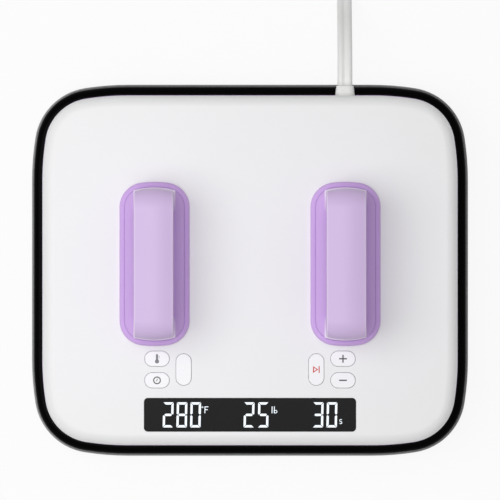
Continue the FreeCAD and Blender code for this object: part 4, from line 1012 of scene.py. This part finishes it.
@dataclass
class Plug:
    """The moulded plug body with a ribbed grip on both sides.

    Each section is its share of the length, of the width and of the height.
    """

    palette: Palette
    rows: RowGroup
    route: CordRoute
    length: float = 32.0 * MM
    width: float = 24.0 * MM
    height: float = 18.0 * MM
    corner: float = 4.0 * MM
    side_flat: float = 0.2 * MM
    sections: tuple[Place, ...] = (
        (0.0, 0.55, 0.5), (0.06, 0.6, 0.56), (0.12, 0.6, 0.56), (0.2, 0.72, 0.68), (0.3, 0.9, 0.9),
        (0.38, 0.98, 0.98), (0.44, 1.0, 1.0), (0.94, 1.0, 1.0), (0.98, 0.98, 0.975), (1.0, 0.93, 0.91))
    ribs: int = 6
    rib_start: float = 0.48
    rib_step: float = 2.3 * MM
    rib_size: Place = (1.1 * MM, 9.5 * MM, 0.5 * MM)
    rib_corner: float = 0.4 * MM
    rib_sunk: float = 0.1 * MM
    sharp: float = 35.0

    def shell(self) -> Piece:
        """The body, narrower towards the cord.

        Returns:
            The closed body without its ribs.
        """
        rings = []
        for share, wide, high in self.sections:
            place = self.route.end - RIGHT * (self.length * share)
            height = self.height * high
            corner = min(self.corner, (height - self.side_flat) / 2)
            rings.append(pill_ring(place, BACK, self.width * wide, height, corner))
        return stacked("plug_shell", rings)

    def grip(self, side: int) -> Piece:
        """The ribs on one side.

        Args:
            side: 1 for the rear side, -1 for the front side.

        Returns:
            The row of ribs.
        """
        place = self.route.end - RIGHT * (self.length * self.rib_start)
        place += BACK * (side * (self.width / 2 - self.rib_sunk))
        length, width, height = self.rib_size
        return self.rows.row(f"plug_grip_{side}", place, -90.0 * side, Count=self.ribs,
                             Step=(-self.rib_step, 0, 0), Length=length, Width=width, Height=height,
                             Corner=self.rib_corner, Material=self.palette.materials["cord_white"])

    def build(self) -> None:
        """Makes the plug's body, which lies on the table."""
        body = joined("moulded_plug", [self.shell(), self.grip(1), self.grip(-1)])
        self.palette.settle(body, "cord_white", Body.STAND, "plug_body", sharp=self.sharp)


@dataclass(frozen=True)
class Bars:
    """The sizes of one row of bars under the cover."""

    finish: str
    first: Place
    count: int
    step: float
    length: float
    width: float
    height: float
    corner: float


@dataclass
class Works:
    """Fins and pins on the parts under the cover."""

    palette: Palette
    rows: RowGroup
    heatsink_fins: Bars = Bars("bare_aluminium", (7.5 * MM, 34.0 * MM, 56.0 * MM), count=9,
                               step=3.6 * MM, length=1.1 * MM, width=11.0 * MM, height=1.8 * MM,
                               corner=0.3 * MM)
    header_pins: Bars = Bars("brass", (-6.3 * MM, -70.0 * MM, 51.4 * MM), count=6, step=2.54 * MM,
                             length=0.64 * MM, width=0.64 * MM, height=3.0 * MM, corner=0.1 * MM)

    def build(self) -> None:
        """Adds the heat sink's fins and the header's pins, which ride on the press."""
        for name, bars in (("heatsink_fins", self.heatsink_fins), ("header_pins", self.header_pins)):
            row = self.rows.row(
                name, Vector(bars.first), Count=bars.count, Step=(bars.step, 0, 0), Length=bars.length,
                Width=bars.width, Height=bars.height, Corner=bars.corner,
                Material=self.palette.materials[bars.finish])
            self.palette.settle(row, bars.finish, Body.PRESS)


@dataclass
class Printer:
    """Lays thin printed or lit shapes on a surface at one height."""

    surface: float
    thickness: float = 0.06 * MM
    sunk: float = 0.03 * MM

    def lay(self, name: str, shapes: Sequence[Shape], middle: Point = (0.0, 0.0)) -> Piece:
        """Makes one piece of closed shapes that stand a hair above the surface.

        Args:
            name: the piece's name.
            shapes: for each its edge and its holes' edges, about the middle.
            middle: where they go.

        Returns:
            The piece.
        """
        low = self.surface - self.sunk
        parts = []
        for number, shape in enumerate(shapes):
            outline, *holes = ([(middle[0] + x, middle[1] + y) for x, y in ring] for ring in shape)
            parts.append(prism(f"{name}_{number}", outline, low, low + self.thickness, holes))
        return joined(name, parts)


def circle_line(x: float, y: float, radius: float, width: float) -> Shape:
    """The edges of a circle line about a centre, from its outer radius and its width."""
    return [ring_points(x, y, radius), ring_points(x, y, radius - width)]


@dataclass
class Keys:
    """The signs printed on the six buttons, each drawn about its button's middle."""

    palette: Palette
    top: float = 62.5 * MM
    outer_x: float = 72.0 * MM
    inner_x: float = 51.35 * MM
    upper_y: float = -68.4 * MM
    lower_y: float = -85.1 * MM
    inner_y: float = -76.75 * MM
    reach: float = 3.0 * MM
    stroke: float = 1.05 * MM
    bulb: float = 1.6 * MM
    stem: float = 0.85 * MM
    bulb_steps: int = 24
    stem_steps: int = 12
    thermometer_height: float = 7.3 * MM
    mark_ends: Point = (1.35 * MM, 2.15 * MM)
    mark_levels: Point = (0.6 * MM, 1.9 * MM)
    mark_stroke: float = 0.4 * MM
    clock_stroke: float = 0.85 * MM
    hand: tuple[Point, Point] = ((-0.45 * MM, -0.75 * MM), (0.45 * MM, 1.15 * MM))
    hand_stroke: float = 0.55 * MM
    switch_radius: float = 2.6 * MM
    switch_opening: float = 35.0
    switch_steps: int = 36
    switch_upright: Point = (0.4 * MM, 3.3 * MM)
    switch_stroke: float = 0.6 * MM
    start_left: Point = (-2.6 * MM, 2.7 * MM)
    start_right: float = 1.6 * MM
    start_hole_left: Point = (-1.8 * MM, 1.35 * MM)
    start_hole_right: float = 0.2 * MM
    start_bar: Point = (2.2 * MM, 2.7 * MM)
    start_bar_stroke: float = 0.8 * MM

    def plus(self) -> list[Shape]:
        """The plus sign."""
        a, b = self.reach, self.stroke / 2
        return [[[(b, b), (b, a), (-b, a), (-b, b), (-a, b), (-a, -b), (-b, -b), (-b, -a), (b, -a),
                  (b, -b), (a, -b), (a, b)]]]

    def minus(self) -> list[Shape]:
        """The minus sign."""
        a, b = self.reach, self.stroke / 2
        return [[[(a, b), (-a, b), (-a, -b), (a, -b)]]]

    def thermometer(self) -> list[Shape]:
        """The thermometer sign: a bulb, a stem and two scale marks.

        Returns:
            Its shapes.
        """
        half = self.thermometer_height / 2
        opening = math.degrees(math.asin(self.stem / self.bulb))
        body = arc_points(0, self.bulb - half, self.bulb, 90 + opening, 450 - opening,
                          self.bulb_steps)
        body += arc_points(0, half - self.stem, self.stem, 0, 180, self.stem_steps)
        marks = [[ribbon([(x, level) for x in self.mark_ends], self.mark_stroke)]
                 for level in self.mark_levels]
        return [[body], *marks]

    def clock(self) -> list[Shape]:
        """The clock sign: a ring and a slanted hand."""
        return [circle_line(0, 0, self.reach, self.clock_stroke), [ribbon(self.hand, self.hand_stroke)]]

    def switch(self) -> list[Shape]:
        """The on and off sign: an open ring with an upright stroke.

        Returns:
            Its shapes.
        """
        ring = arc_points(0, 0, self.switch_radius, 90 + self.switch_opening,
                          450 - self.switch_opening, self.switch_steps)
        upright = [(0.0, y) for y in self.switch_upright]
        return [[ribbon(path, self.switch_stroke)] for path in (ring, upright)]

    def start(self) -> list[Shape]:
        """The start sign on the mode button: an outlined triangle with a bar.

        Returns:
            Its shapes.
        """
        triangle = [[(left, high), (left, -high), (right, 0.0)] for (left, high), right in (
            (self.start_left, self.start_right), (self.start_hole_left, self.start_hole_right))]
        x, high = self.start_bar
        return [triangle, [ribbon([(x, -high), (x, high)], self.start_bar_stroke)]]

    def build(self) -> None:
        """Prints every sign, which rides with its button."""
        signs = (
            ("plus_sign", self.plus(), (self.outer_x, self.upper_y), "sign_dark", Body.PLUS),
            ("minus_sign", self.minus(), (self.outer_x, self.lower_y), "sign_dark", Body.MINUS),
            ("thermometer_sign", self.thermometer(), (-self.outer_x, self.upper_y), "sign_grey",
             Body.TEMPERATURE),
            ("clock_sign", self.clock(), (-self.outer_x, self.lower_y), "sign_dark", Body.TIMER),
            ("switch_sign", self.switch(), (-self.inner_x, self.inner_y), "sign_pale", Body.POWER),
            ("start_sign", self.start(), (self.inner_x, self.inner_y), "sign_red", Body.MODE),
        )
        for name, shapes, middle, finish, body in signs:
            self.palette.settle(Printer(self.top).lay(name, shapes, middle), finish, body)


SEGMENTS_OF = {
    "0": "abcdef",
    "2": "abdeg",
    "3": "abcdg",
    "5": "acdfg",
    "8": "abcdefg",
}


@dataclass
class Readout:
    """The lit numbers and units on the display window, measured from the digits' foot line.

    Each group is its digits, X of its left side and the step from one digit to the next.
    """

    palette: Palette
    top: float = 62.2 * MM
    base_y: float = -121.6 * MM
    height: float = 19.5 * MM
    width: float = 8.1 * MM
    level_stroke: float = 1.8 * MM
    upright_stroke: float = 1.7 * MM
    gap: float = 0.3 * MM
    slant: float = 0.022
    groups: tuple[tuple[str, float, float], ...] = (
        ("280", -67.4 * MM, 10.6 * MM),
        ("25", -4.8 * MM, 11.0 * MM),
        ("30", 48.7 * MM, 10.65 * MM),
    )
    unit_low: float = 11.0 * MM
    unit_high: float = 16.3 * MM
    unit_stroke: float = 0.6 * MM
    uprights: tuple[float, ...] = (-35.0 * MM, 17.0 * MM, 18.75 * MM)
    arms: tuple[Point, ...] = ((2.7 * MM, 0.3 * MM), (2.2 * MM, 2.5 * MM))
    degree: Point = (-37.0 * MM, 15.7 * MM)
    degree_radius: float = 0.7 * MM
    degree_stroke: float = 0.35 * MM
    bowl: Point = (19.75 * MM, 12.25 * MM)
    bowl_radius: float = 1.3 * MM
    curve_stroke: float = 0.5 * MM
    bends: tuple[Point, ...] = ((70.4 * MM, 5.4 * MM), (70.4 * MM, 3.7 * MM))
    bend_radius: float = 0.85 * MM
    bend_turns: tuple[tuple[int, int], ...] = ((20, 260), (80, -160))
    bend_steps: int = 12

    def segment(self, name: str) -> list[Point]:
        """The outline of one bar of a digit, about the digit's lower left corner.

        Args:
            name: the bar's letter, from a at the top round to g in the middle.

        Returns:
            The outline.
        """
        w, h, g = self.width, self.height, self.gap
        v, u = self.level_stroke, self.upright_stroke
        middle = h / 2
        if name == "g":
            return [(u / 2 + g, middle), (u + g, middle + v / 2), (w - u - g, middle + v / 2),
                    (w - u / 2 - g, middle), (w - u - g, middle - v / 2), (u + g, middle - v / 2)]
        if name in "ad":
            bar = [(g, h), (w - g, h), (w - u - g, h - v), (u + g, h - v)]
        else:
            bar = [(0.0, h - g), (u, h - v - g), (u, middle + v / 2 + g), (u / 2, middle + g),
                   (0.0, middle + g + v / 4)]
        if name in "bc":
            bar = [(w - x, y) for x, y in bar]
        if name in "cde":
            bar = [(x, h - y) for x, y in bar]
        return bar

    def leaning(self, path: Sequence[Point]) -> list[Point]:
        """Gives a path the digits' slant."""
        return [(x + (y - self.height / 2) * self.slant, y) for x, y in path]

    def units(self) -> list[Shape]:
        """The small units: a degree ring and a letter, two letters, and one letter.

        Returns:
            Their shapes.
        """
        left = self.uprights[0]
        paths = [[(x, self.unit_low), (x, self.unit_high)] for x in self.uprights]
        paths += [[(left, self.unit_high - drop), (left + reach, self.unit_high - drop)]
                  for reach, drop in self.arms]
        curve = [point for (x, y), turns in zip(self.bends, self.bend_turns)
                 for point in arc_points(x, y, self.bend_radius, *turns, self.bend_steps)]
        strokes = [ribbon(path, self.unit_stroke) for path in paths]
        strokes.append(ribbon(curve, self.curve_stroke))
        degree, bowl = self.leaning([self.degree, self.bowl])
        return [*([self.leaning(stroke)] for stroke in strokes),
                circle_line(*degree, self.degree_radius, self.degree_stroke),
                circle_line(*bowl, self.bowl_radius, self.curve_stroke)]

    def build(self) -> None:
        """Lights the digits and units on the window, which rides on the press."""
        digits = [[self.leaning([(left + number * pitch + x, y) for x, y in self.segment(bar)])]
                  for text, left, pitch in self.groups
                  for number, digit in enumerate(text) for bar in SEGMENTS_OF[digit]]
        readout = Printer(self.top).lay("display_readout", digits + self.units(), (0.0, self.base_y))
        self.palette.settle(readout, "digit_light", Body.PRESS)


@dataclass
class Bead:
    """The thin lavender line between the black casing and the white cover."""

    palette: Palette
    half_length: float = 170.3 * MM
    half_depth: float = 144.9 * MM
    blend: float = 217.0 * MM
    corner: float = 46.4 * MM
    corner_inset: float = 48.5 * MM
    outer_inset: float = 8.7 * MM
    inner_inset: float = 12.5 * MM
    low: float = 35.45 * MM
    top: float = 36.45 * MM
    round: float = 0.4 * MM
    round_step: int = 30
    blend_steps: int = 8
    corner_steps: int = 24
    sharp: float = 50.0

    def ring(self, inset: float, height: float) -> list[Place]:
        """The casing's outline drawn in by an even distance, at a height.

        Args:
            inset: how far it is drawn in from the stand's outline.
            height: its Z.

        Returns:
            The ring's points.
        """
        x, y = self.half_length - self.corner_inset, self.half_depth - self.corner_inset
        reach = self.blend - self.corner
        back = math.sqrt(reach ** 2 - (self.blend - self.corner_inset) ** 2)
        turn = math.degrees(math.asin(back / reach))
        blend, corner = self.blend - inset, self.corner - inset
        quarter = arc_points(self.half_length - self.blend, y - back, blend, 0, turn, self.blend_steps)
        quarter += arc_points(x, y, corner, turn, 90 - turn, self.corner_steps)[1:-1]
        quarter += arc_points(x - back, self.half_depth - self.blend, blend, 90 - turn, 90,
                              self.blend_steps)
        half = quarter + [(-u, v) for u, v in reversed(quarter)]
        return [(u, v, height) for u, v in half_turned(half)]

    def build(self) -> None:
        """Makes the line, which rides on the press."""
        places = [(self.outer_inset, self.low)]
        places += rounded_edge(self.outer_inset, self.top, self.round, self.round_step)
        places += [(self.inner_inset, self.top), (self.inner_inset, self.low)]
        bead = stacked("accent_bead", [self.ring(*place) for place in places], hollow=True)
        # The darker copy of lavender is painted shade on the bead.
        self.palette.settle(bead, "lavender_painted_shade", Body.PRESS, "accent_ring", sharp=self.sharp)


@dataclass
class Mount:
    """The collar on the cover and the rounded pedestal that a handle stands on."""

    palette: Palette
    side: str
    x: float
    y: float = 5.0 * MM
    half_width: float = 27.05 * MM
    half_length: float = 63.5 * MM
    corner: float = 19.2 * MM
    bow: float = 79.0 * MM
    band: float = 3.9 * MM
    seam: float = 0.06 * MM
    low: float = 62.0 * MM
    collar_top: float = 66.5 * MM
    collar_round: float = 2.0 * MM
    collar_round_step: int = 15
    collar_lip: float = 0.4 * MM
    collar_lip_step: int = 30
    pedestal_top: float = 70.0 * MM
    dome: float = 12.0 * MM
    dome_reach: float = 7.6 * MM
    dome_steps: int = 12
    dome_edge: float = 0.5 * MM
    dome_edge_steps: int = 4
    sharp: float = 40.0

    def ring(self, inset: float, height: float) -> list[Place]:
        """The outline drawn in by an even distance, at a height."""
        outline = bowed_outline(self.x, self.y, self.half_width - inset, self.half_length - inset,
                                self.corner - inset, self.bow - inset)
        return [(u, v, height) for u, v in outline]

    def collar(self) -> Piece:
        """The rim round the pedestal.

        Returns:
            The rim, open in its middle.
        """
        lip = rounded_edge(self.band, self.collar_top, self.collar_lip, self.collar_lip_step, -1)
        places = [(0.0, self.low)]
        places += rounded_edge(0.0, self.collar_top, self.collar_round, self.collar_round_step)
        places += [*reversed(lip), (self.band, self.low)]
        return stacked(f"{self.side}_mount_collar", [self.ring(*place) for place in places], hollow=True)

    def pedestal(self) -> Piece:
        """The rounded block inside the collar.

        Returns:
            The block.
        """
        start = self.band + self.seam
        tilt = math.asin(self.dome_reach / self.dome)
        rim = self.pedestal_top - self.dome * (1 - math.cos(tilt))
        rings = [self.ring(start, self.low)]
        for step in range(self.dome_edge_steps + 1):
            turn = (math.pi / 2 - tilt) * step / self.dome_edge_steps
            rings.append(self.ring(start + self.dome_edge * (1 - math.cos(turn)),
                                   rim - self.dome_edge * (math.cos(tilt) - math.sin(turn))))
        inner = start + self.dome_edge * (1 - math.sin(tilt))
        for step in range(1, self.dome_steps + 1):
            turn = tilt * (1 - step / self.dome_steps)
            rings.append(self.ring(inner + self.dome_reach - self.dome * math.sin(turn),
                                   self.pedestal_top - self.dome * (1 - math.cos(turn))))
        return stacked(f"{self.side}_mount_pedestal", rings)

    def build(self) -> None:
        """Makes both pieces, which ride on the press."""
        # The darker copy of lavender is painted shade on the collar and pedestal.
        for piece, node in ((self.collar(), "collar"), (self.pedestal(), "pedestal")):
            self.palette.settle(piece, "lavender_painted_shade", Body.PRESS, f"{self.side}_handle_{node}",
                                sharp=self.sharp)


@dataclass(frozen=True)
class Station:
    """A place along a handle's bridge: its outer and inner side and the way outwards."""

    outer: Vector
    inner: Vector
    out: Vector
    crown: float
    spread: float = 0.0

    def mirrored(self) -> "Station":
        """The same place on the other half of the bridge."""
        outer, inner, out = (Vector((0, -way.y, way.z)) for way in (self.outer, self.inner, self.out))
        return Station(outer, inner, out, self.crown, self.spread)


@dataclass
class Grip:
    """A bridge handle with a crowned strap and bowed ends."""

    palette: Palette
    side: str
    x: float
    y: float = 5.0 * MM
    half_width: float = 15.1 * MM
    half_length: float = 58.0 * MM
    seat: float = 63.5 * MM
    foot_top: float = 70.0 * MM
    foot_bow: float = 60.0 * MM
    foot_steps: int = 12
    sunk: float = 0.2 * MM
    top: float = 122.0 * MM
    bend: float = 15.0 * MM
    bend_steps: int = 28
    inner_bend: float = 12.0 * MM
    pillar: float = 16.0 * MM
    depth: float = 17.0 * MM
    crown: float = 2.8 * MM
    crown_steps: int = 8
    end_crown: float = 2.2 * MM
    edge: float = 1.1 * MM
    edge_steps: int = 4
    inner_edge: float = 1.6 * MM
    straight: float = 4.4 * MM
    flare: float = 1.1 * MM
    flare_angles: tuple[float, ...] = (0.0, 25.0, 50.0, 70.0, 90.0)
    pillar_shares: tuple[float, ...] = (0.06, 0.4, 0.8)
    strap_shares: tuple[float, ...] = (0.35, 0.7)
    # Painted highlight: its share on the strap's edge roundings, and how deep into the feet it goes at
    # full strength.
    edge_highlight_share: float = 0.4
    foot_highlight_reach: float = 7.0 * MM
    edge_fade: float = 0.8 * MM
    sharp: float = 40.0

    def front_half(self) -> Iterator[Station]:
        """Goes along the bridge from the front foot to the middle of the strap.

        Yields:
            Each place on the way.
        """
        outer_y, inner_y = -self.half_length, self.pillar - self.half_length
        under = self.top - self.depth
        outer_hub = Vector((0, outer_y + self.bend, self.top - self.bend))
        inner_hub = Vector((0, inner_y + self.inner_bend, under - self.inner_bend))
        heights = [(self.seat, self.flare)]
        for turn in map(math.radians, self.flare_angles):
            heights.append((self.foot_top + self.flare * (1 - math.cos(turn)),
                            self.flare * (1 - math.sin(turn))))
        for z, spread in heights:
            yield Station(Vector((0, outer_y, z)), Vector((0, inner_y, z)), -BACK, self.end_crown, spread)
        for share in self.pillar_shares:
            outer_z, inner_z = (self.foot_top + (hub.z - self.foot_top) * share
                                for hub in (outer_hub, inner_hub))
            yield Station(Vector((0, outer_y, outer_z)), Vector((0, inner_y, inner_z)), -BACK,
                          self.end_crown)
        for step in range(self.bend_steps + 1):
            share = step / self.bend_steps
            angle = math.radians(90 * share)
            out = Vector((0, -math.cos(angle), math.sin(angle)))
            yield Station(outer_hub + out * self.bend, inner_hub + out * self.inner_bend, out,
                          self.end_crown + (self.crown - self.end_crown) * share)
        for share in self.strap_shares:
            yield Station(Vector((0, outer_hub.y * (1 - share), self.top)),
                          Vector((0, inner_hub.y * (1 - share), under)), UP, self.crown)

    def section(self, thickness: float, crown: float, half_width: float) -> list[Point]:
        """The outline across the strap: distance from the middle and depth below the outer face.

        Args:
            thickness: the strap's thickness there.
            crown: how far the outer face falls at its edges.
            half_width: from the middle to a side.

        Returns:
            The outline, from the middle of the outer face round.
        """
        flat = half_width - self.edge
        steps = [flat * n / self.crown_steps for n in range(-self.crown_steps, self.crown_steps + 1)]
        face = [(across, crown * (across / half_width) ** 2) for across in steps]
        shoulder = face[-1][1]
        turns = [math.radians(90 * n / self.edge_steps) for n in range(self.edge_steps + 1)]
        side = [(flat + self.edge * math.sin(turn), shoulder + self.edge * (1 - math.cos(turn)))
                for turn in turns[1:]]
        side.append((half_width, shoulder + self.edge + self.edge_fade))
        inner, low = half_width - self.inner_edge, thickness - self.inner_edge
        side += [(inner + self.inner_edge * math.cos(turn), low + self.inner_edge * math.sin(turn))
                 for turn in turns]
        return face + side + [(-across, depth) for across, depth in reversed(side)]

    def bridge(self) -> Piece:
        """The strap and its pillars as one closed shape, with a painted highlight on its edges and feet
        as an attribute.

        Returns:
            The bridge.
        """
        middle = Vector((self.x, self.y, 0))
        stations = list(self.front_half())
        stations += [station.mirrored() for station in reversed(stations)]
        rings: list[list[Vector]] = []
        edges: list[float] = []
        for station in stations:
            start = station.outer + station.out * station.spread
            through = station.inner - station.out * station.spread - start
            ring = []
            for across, depth in self.section(through.length, station.crown,
                                              self.half_width + station.spread):
                share = min(1.0, depth / self.straight)
                way = (-station.out).lerp(through.normalized(), share).normalized()
                ring.append(middle + start + way * depth + RIGHT * across)
                # Painted highlight: edge roundings and feet are marked for a paler colour, standing in
                # for light caught there.
                on_edge = (abs(across) > self.half_width - self.edge
                           and depth < self.edge + station.crown)
                foot = start.z < self.foot_top + self.flare and depth < self.foot_highlight_reach
                edges.append(1.0 if foot else self.edge_highlight_share if on_edge else 0.0)
            rings.append(ring)
        bridge = stacked(f"{self.side}_bridge", rings)
        bridge.data.attributes.new(PAINTED_HIGHLIGHT_MASK, "FLOAT", "POINT").data.foreach_set("value", edges)
        return bridge

    def foot(self) -> Piece:
        """The base that joins the pillars inside the pedestal.

        Returns:
            The base.
        """
        hub = self.half_length - self.foot_bow
        steps = [self.half_width * (1 - 2 * n / self.foot_steps) for n in range(self.foot_steps + 1)]
        end = [(across, hub + math.sqrt(self.foot_bow ** 2 - across ** 2)) for across in steps]
        return prism(f"{self.side}_foot", half_turned(end, self.x, self.y), self.seat,
                     self.foot_top - self.sunk)

    def build(self) -> None:
        """Makes the handle, which rides on the press."""
        handle = joined(f"{self.side}_handle", [self.bridge(), self.foot()])
        self.palette.settle(handle, "lavender", Body.PRESS, f"{self.side}_handle_grip",
                            sharp=self.sharp)


@dataclass(frozen=True)
class Lamp:
    """A soft round lamp: where it is, how wide, and its power in watts."""

    name: str
    place: Place
    size: float
    power: float

    def build(self, aim: Vector) -> None:
        """Hangs the lamp up.

        Args:
            aim: what it points at.
        """
        data = bpy.data.lights.new(self.name, "AREA")
        data.shape = "DISK"
        data.size = self.size
        data.energy = self.power
        lamp = linked(self.name, data)
        lamp.location = self.place
        lamp.rotation_euler = (aim - lamp.location).to_track_quat("-Z", "Y").to_euler()


@dataclass
class Studio:
    """The table, the light and the camera of the photograph."""

    eye: Place = (0.0, 15.8 * MM, 5.025)
    aim: Place = (0.0, 0.0, 0.05)
    lens: float = 461.5
    sensor: float = 36.0
    floor_reach: float = 6.0
    floor_tone: float = 0.9
    floor_share: float = 0.88
    floor_grain: float = 300.0
    floor_roughness: float = 0.85
    floor_spread: float = 0.1
    ambient: float = 0.35
    lamps: tuple[Lamp, ...] = (
        Lamp("key_lamp", (-0.52, 0.02, 1.15), 0.95, 5.9),
        Lamp("fill_lamp", (-0.08, -0.33, 2.2), 0.9, 5.6),
        Lamp("top_lamp", (0.0, 0.24, 2.4), 0.7, 5.6),
    )

    def camera(self) -> None:
        """Places the camera straight above."""
        data = bpy.data.cameras.new("photo_camera")
        data.lens = self.lens
        data.sensor_width = self.sensor
        camera = linked("photo_camera", data)
        camera.location = self.eye
        bpy.context.scene.camera = camera

    def seen(self, bench: Bench) -> Socket:
        """A mask of the rays that see the background: the camera's, reflected and refracted ones.

        Args:
            bench: the tree to work in.

        Returns:
            The mask.
        """
        path = bench.add("ShaderNodeLightPath").outputs
        mask = bench.math("MAXIMUM", path["Is Camera Ray"], path["Is Glossy Ray"])
        return bench.math("MAXIMUM", mask, path["Is Transmission Ray"])

    def world(self) -> None:
        """Lights evenly from all round and shows white."""
        world = bpy.data.worlds.new("studio")
        bpy.context.scene.world = world
        bench = Bench.cleared(world)
        extra = bench.math("MULTIPLY", self.seen(bench), 1 - self.ambient)
        light = bench.add("ShaderNodeBackground", Color=WHITE,
                          Strength=bench.math("ADD", extra, self.ambient))
        bench.add("ShaderNodeOutputWorld", Surface=light)

    def floor(self) -> None:
        """Makes the plain white table, which shows white and keeps a soft shadow."""
        reach = self.floor_reach
        corners = [(-reach, -reach, 0), (reach, -reach, 0), (reach, reach, 0), (-reach, reach, 0)]
        floor = as_mesh("table_top", corners, [(0, 1, 2, 3)])
        material = bpy.data.materials.new("table_white")
        bench = Bench.cleared(material)
        place = bench.add("ShaderNodeTexCoord").outputs["Object"]
        grain = bench.add("ShaderNodeTexNoise", Vector=place, Scale=self.floor_grain)
        rough = bench.math("ADD", bench.math("MULTIPLY", grain, self.floor_spread),
                           self.floor_roughness)
        tone = self.floor_tone
        shaded = bench.add("ShaderNodeBsdfPrincipled", Base_Color=(tone, tone, tone, 1.0),
                           Roughness=rough)
        shown = bench.add("ShaderNodeEmission", Color=WHITE, Strength=1.0)
        share = bench.math("MULTIPLY", self.seen(bench), self.floor_share)
        mixed = bench.add("ShaderNodeMixShader", None, share, shaded, shown)
        bench.add("ShaderNodeOutputMaterial", Surface=mixed)
        floor.data.materials.append(material)

    def build(self) -> None:
        """Sets up camera, world, table and lamps."""
        bpy.context.scene.view_settings.view_transform = "Standard"
        self.camera()
        self.world()
        self.floor()
        for lamp in self.lamps:
            lamp.build(Vector(self.aim))


def main() -> None:
    """Builds each sub-assembly in order and reports it, after each piece that the palette dresses."""
    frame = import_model()
    logging.basicConfig(level=logging.INFO, format="%(name)s %(message)s")
    palette = Palette()
    rows = RowGroup()
    route = CordRoute()
    parts = [Studio()]
    parts += [DressedNodes(palette, finishes, frame["nodes"]) for finishes in (
        STAND_NODES, HEATER_NODES, CASING_NODES, CONTROL_NODES, POWER_NODES, HANDLE_NODES)]
    parts += [Plug(palette, rows, route), Cord(palette, route), Boot(palette, route),
              Works(palette, rows), Keys(palette), Readout(palette), Bead(palette)]
    for side, x in (("left", -HANDLE_X), ("right", HANDLE_X)):
        parts += [Mount(palette, side, x), Grip(palette, side, x)]
    for part in parts:
        part.build()
        LOG.info("%s is built", type(part).__name__)


if __name__ == "__main__":
    main()
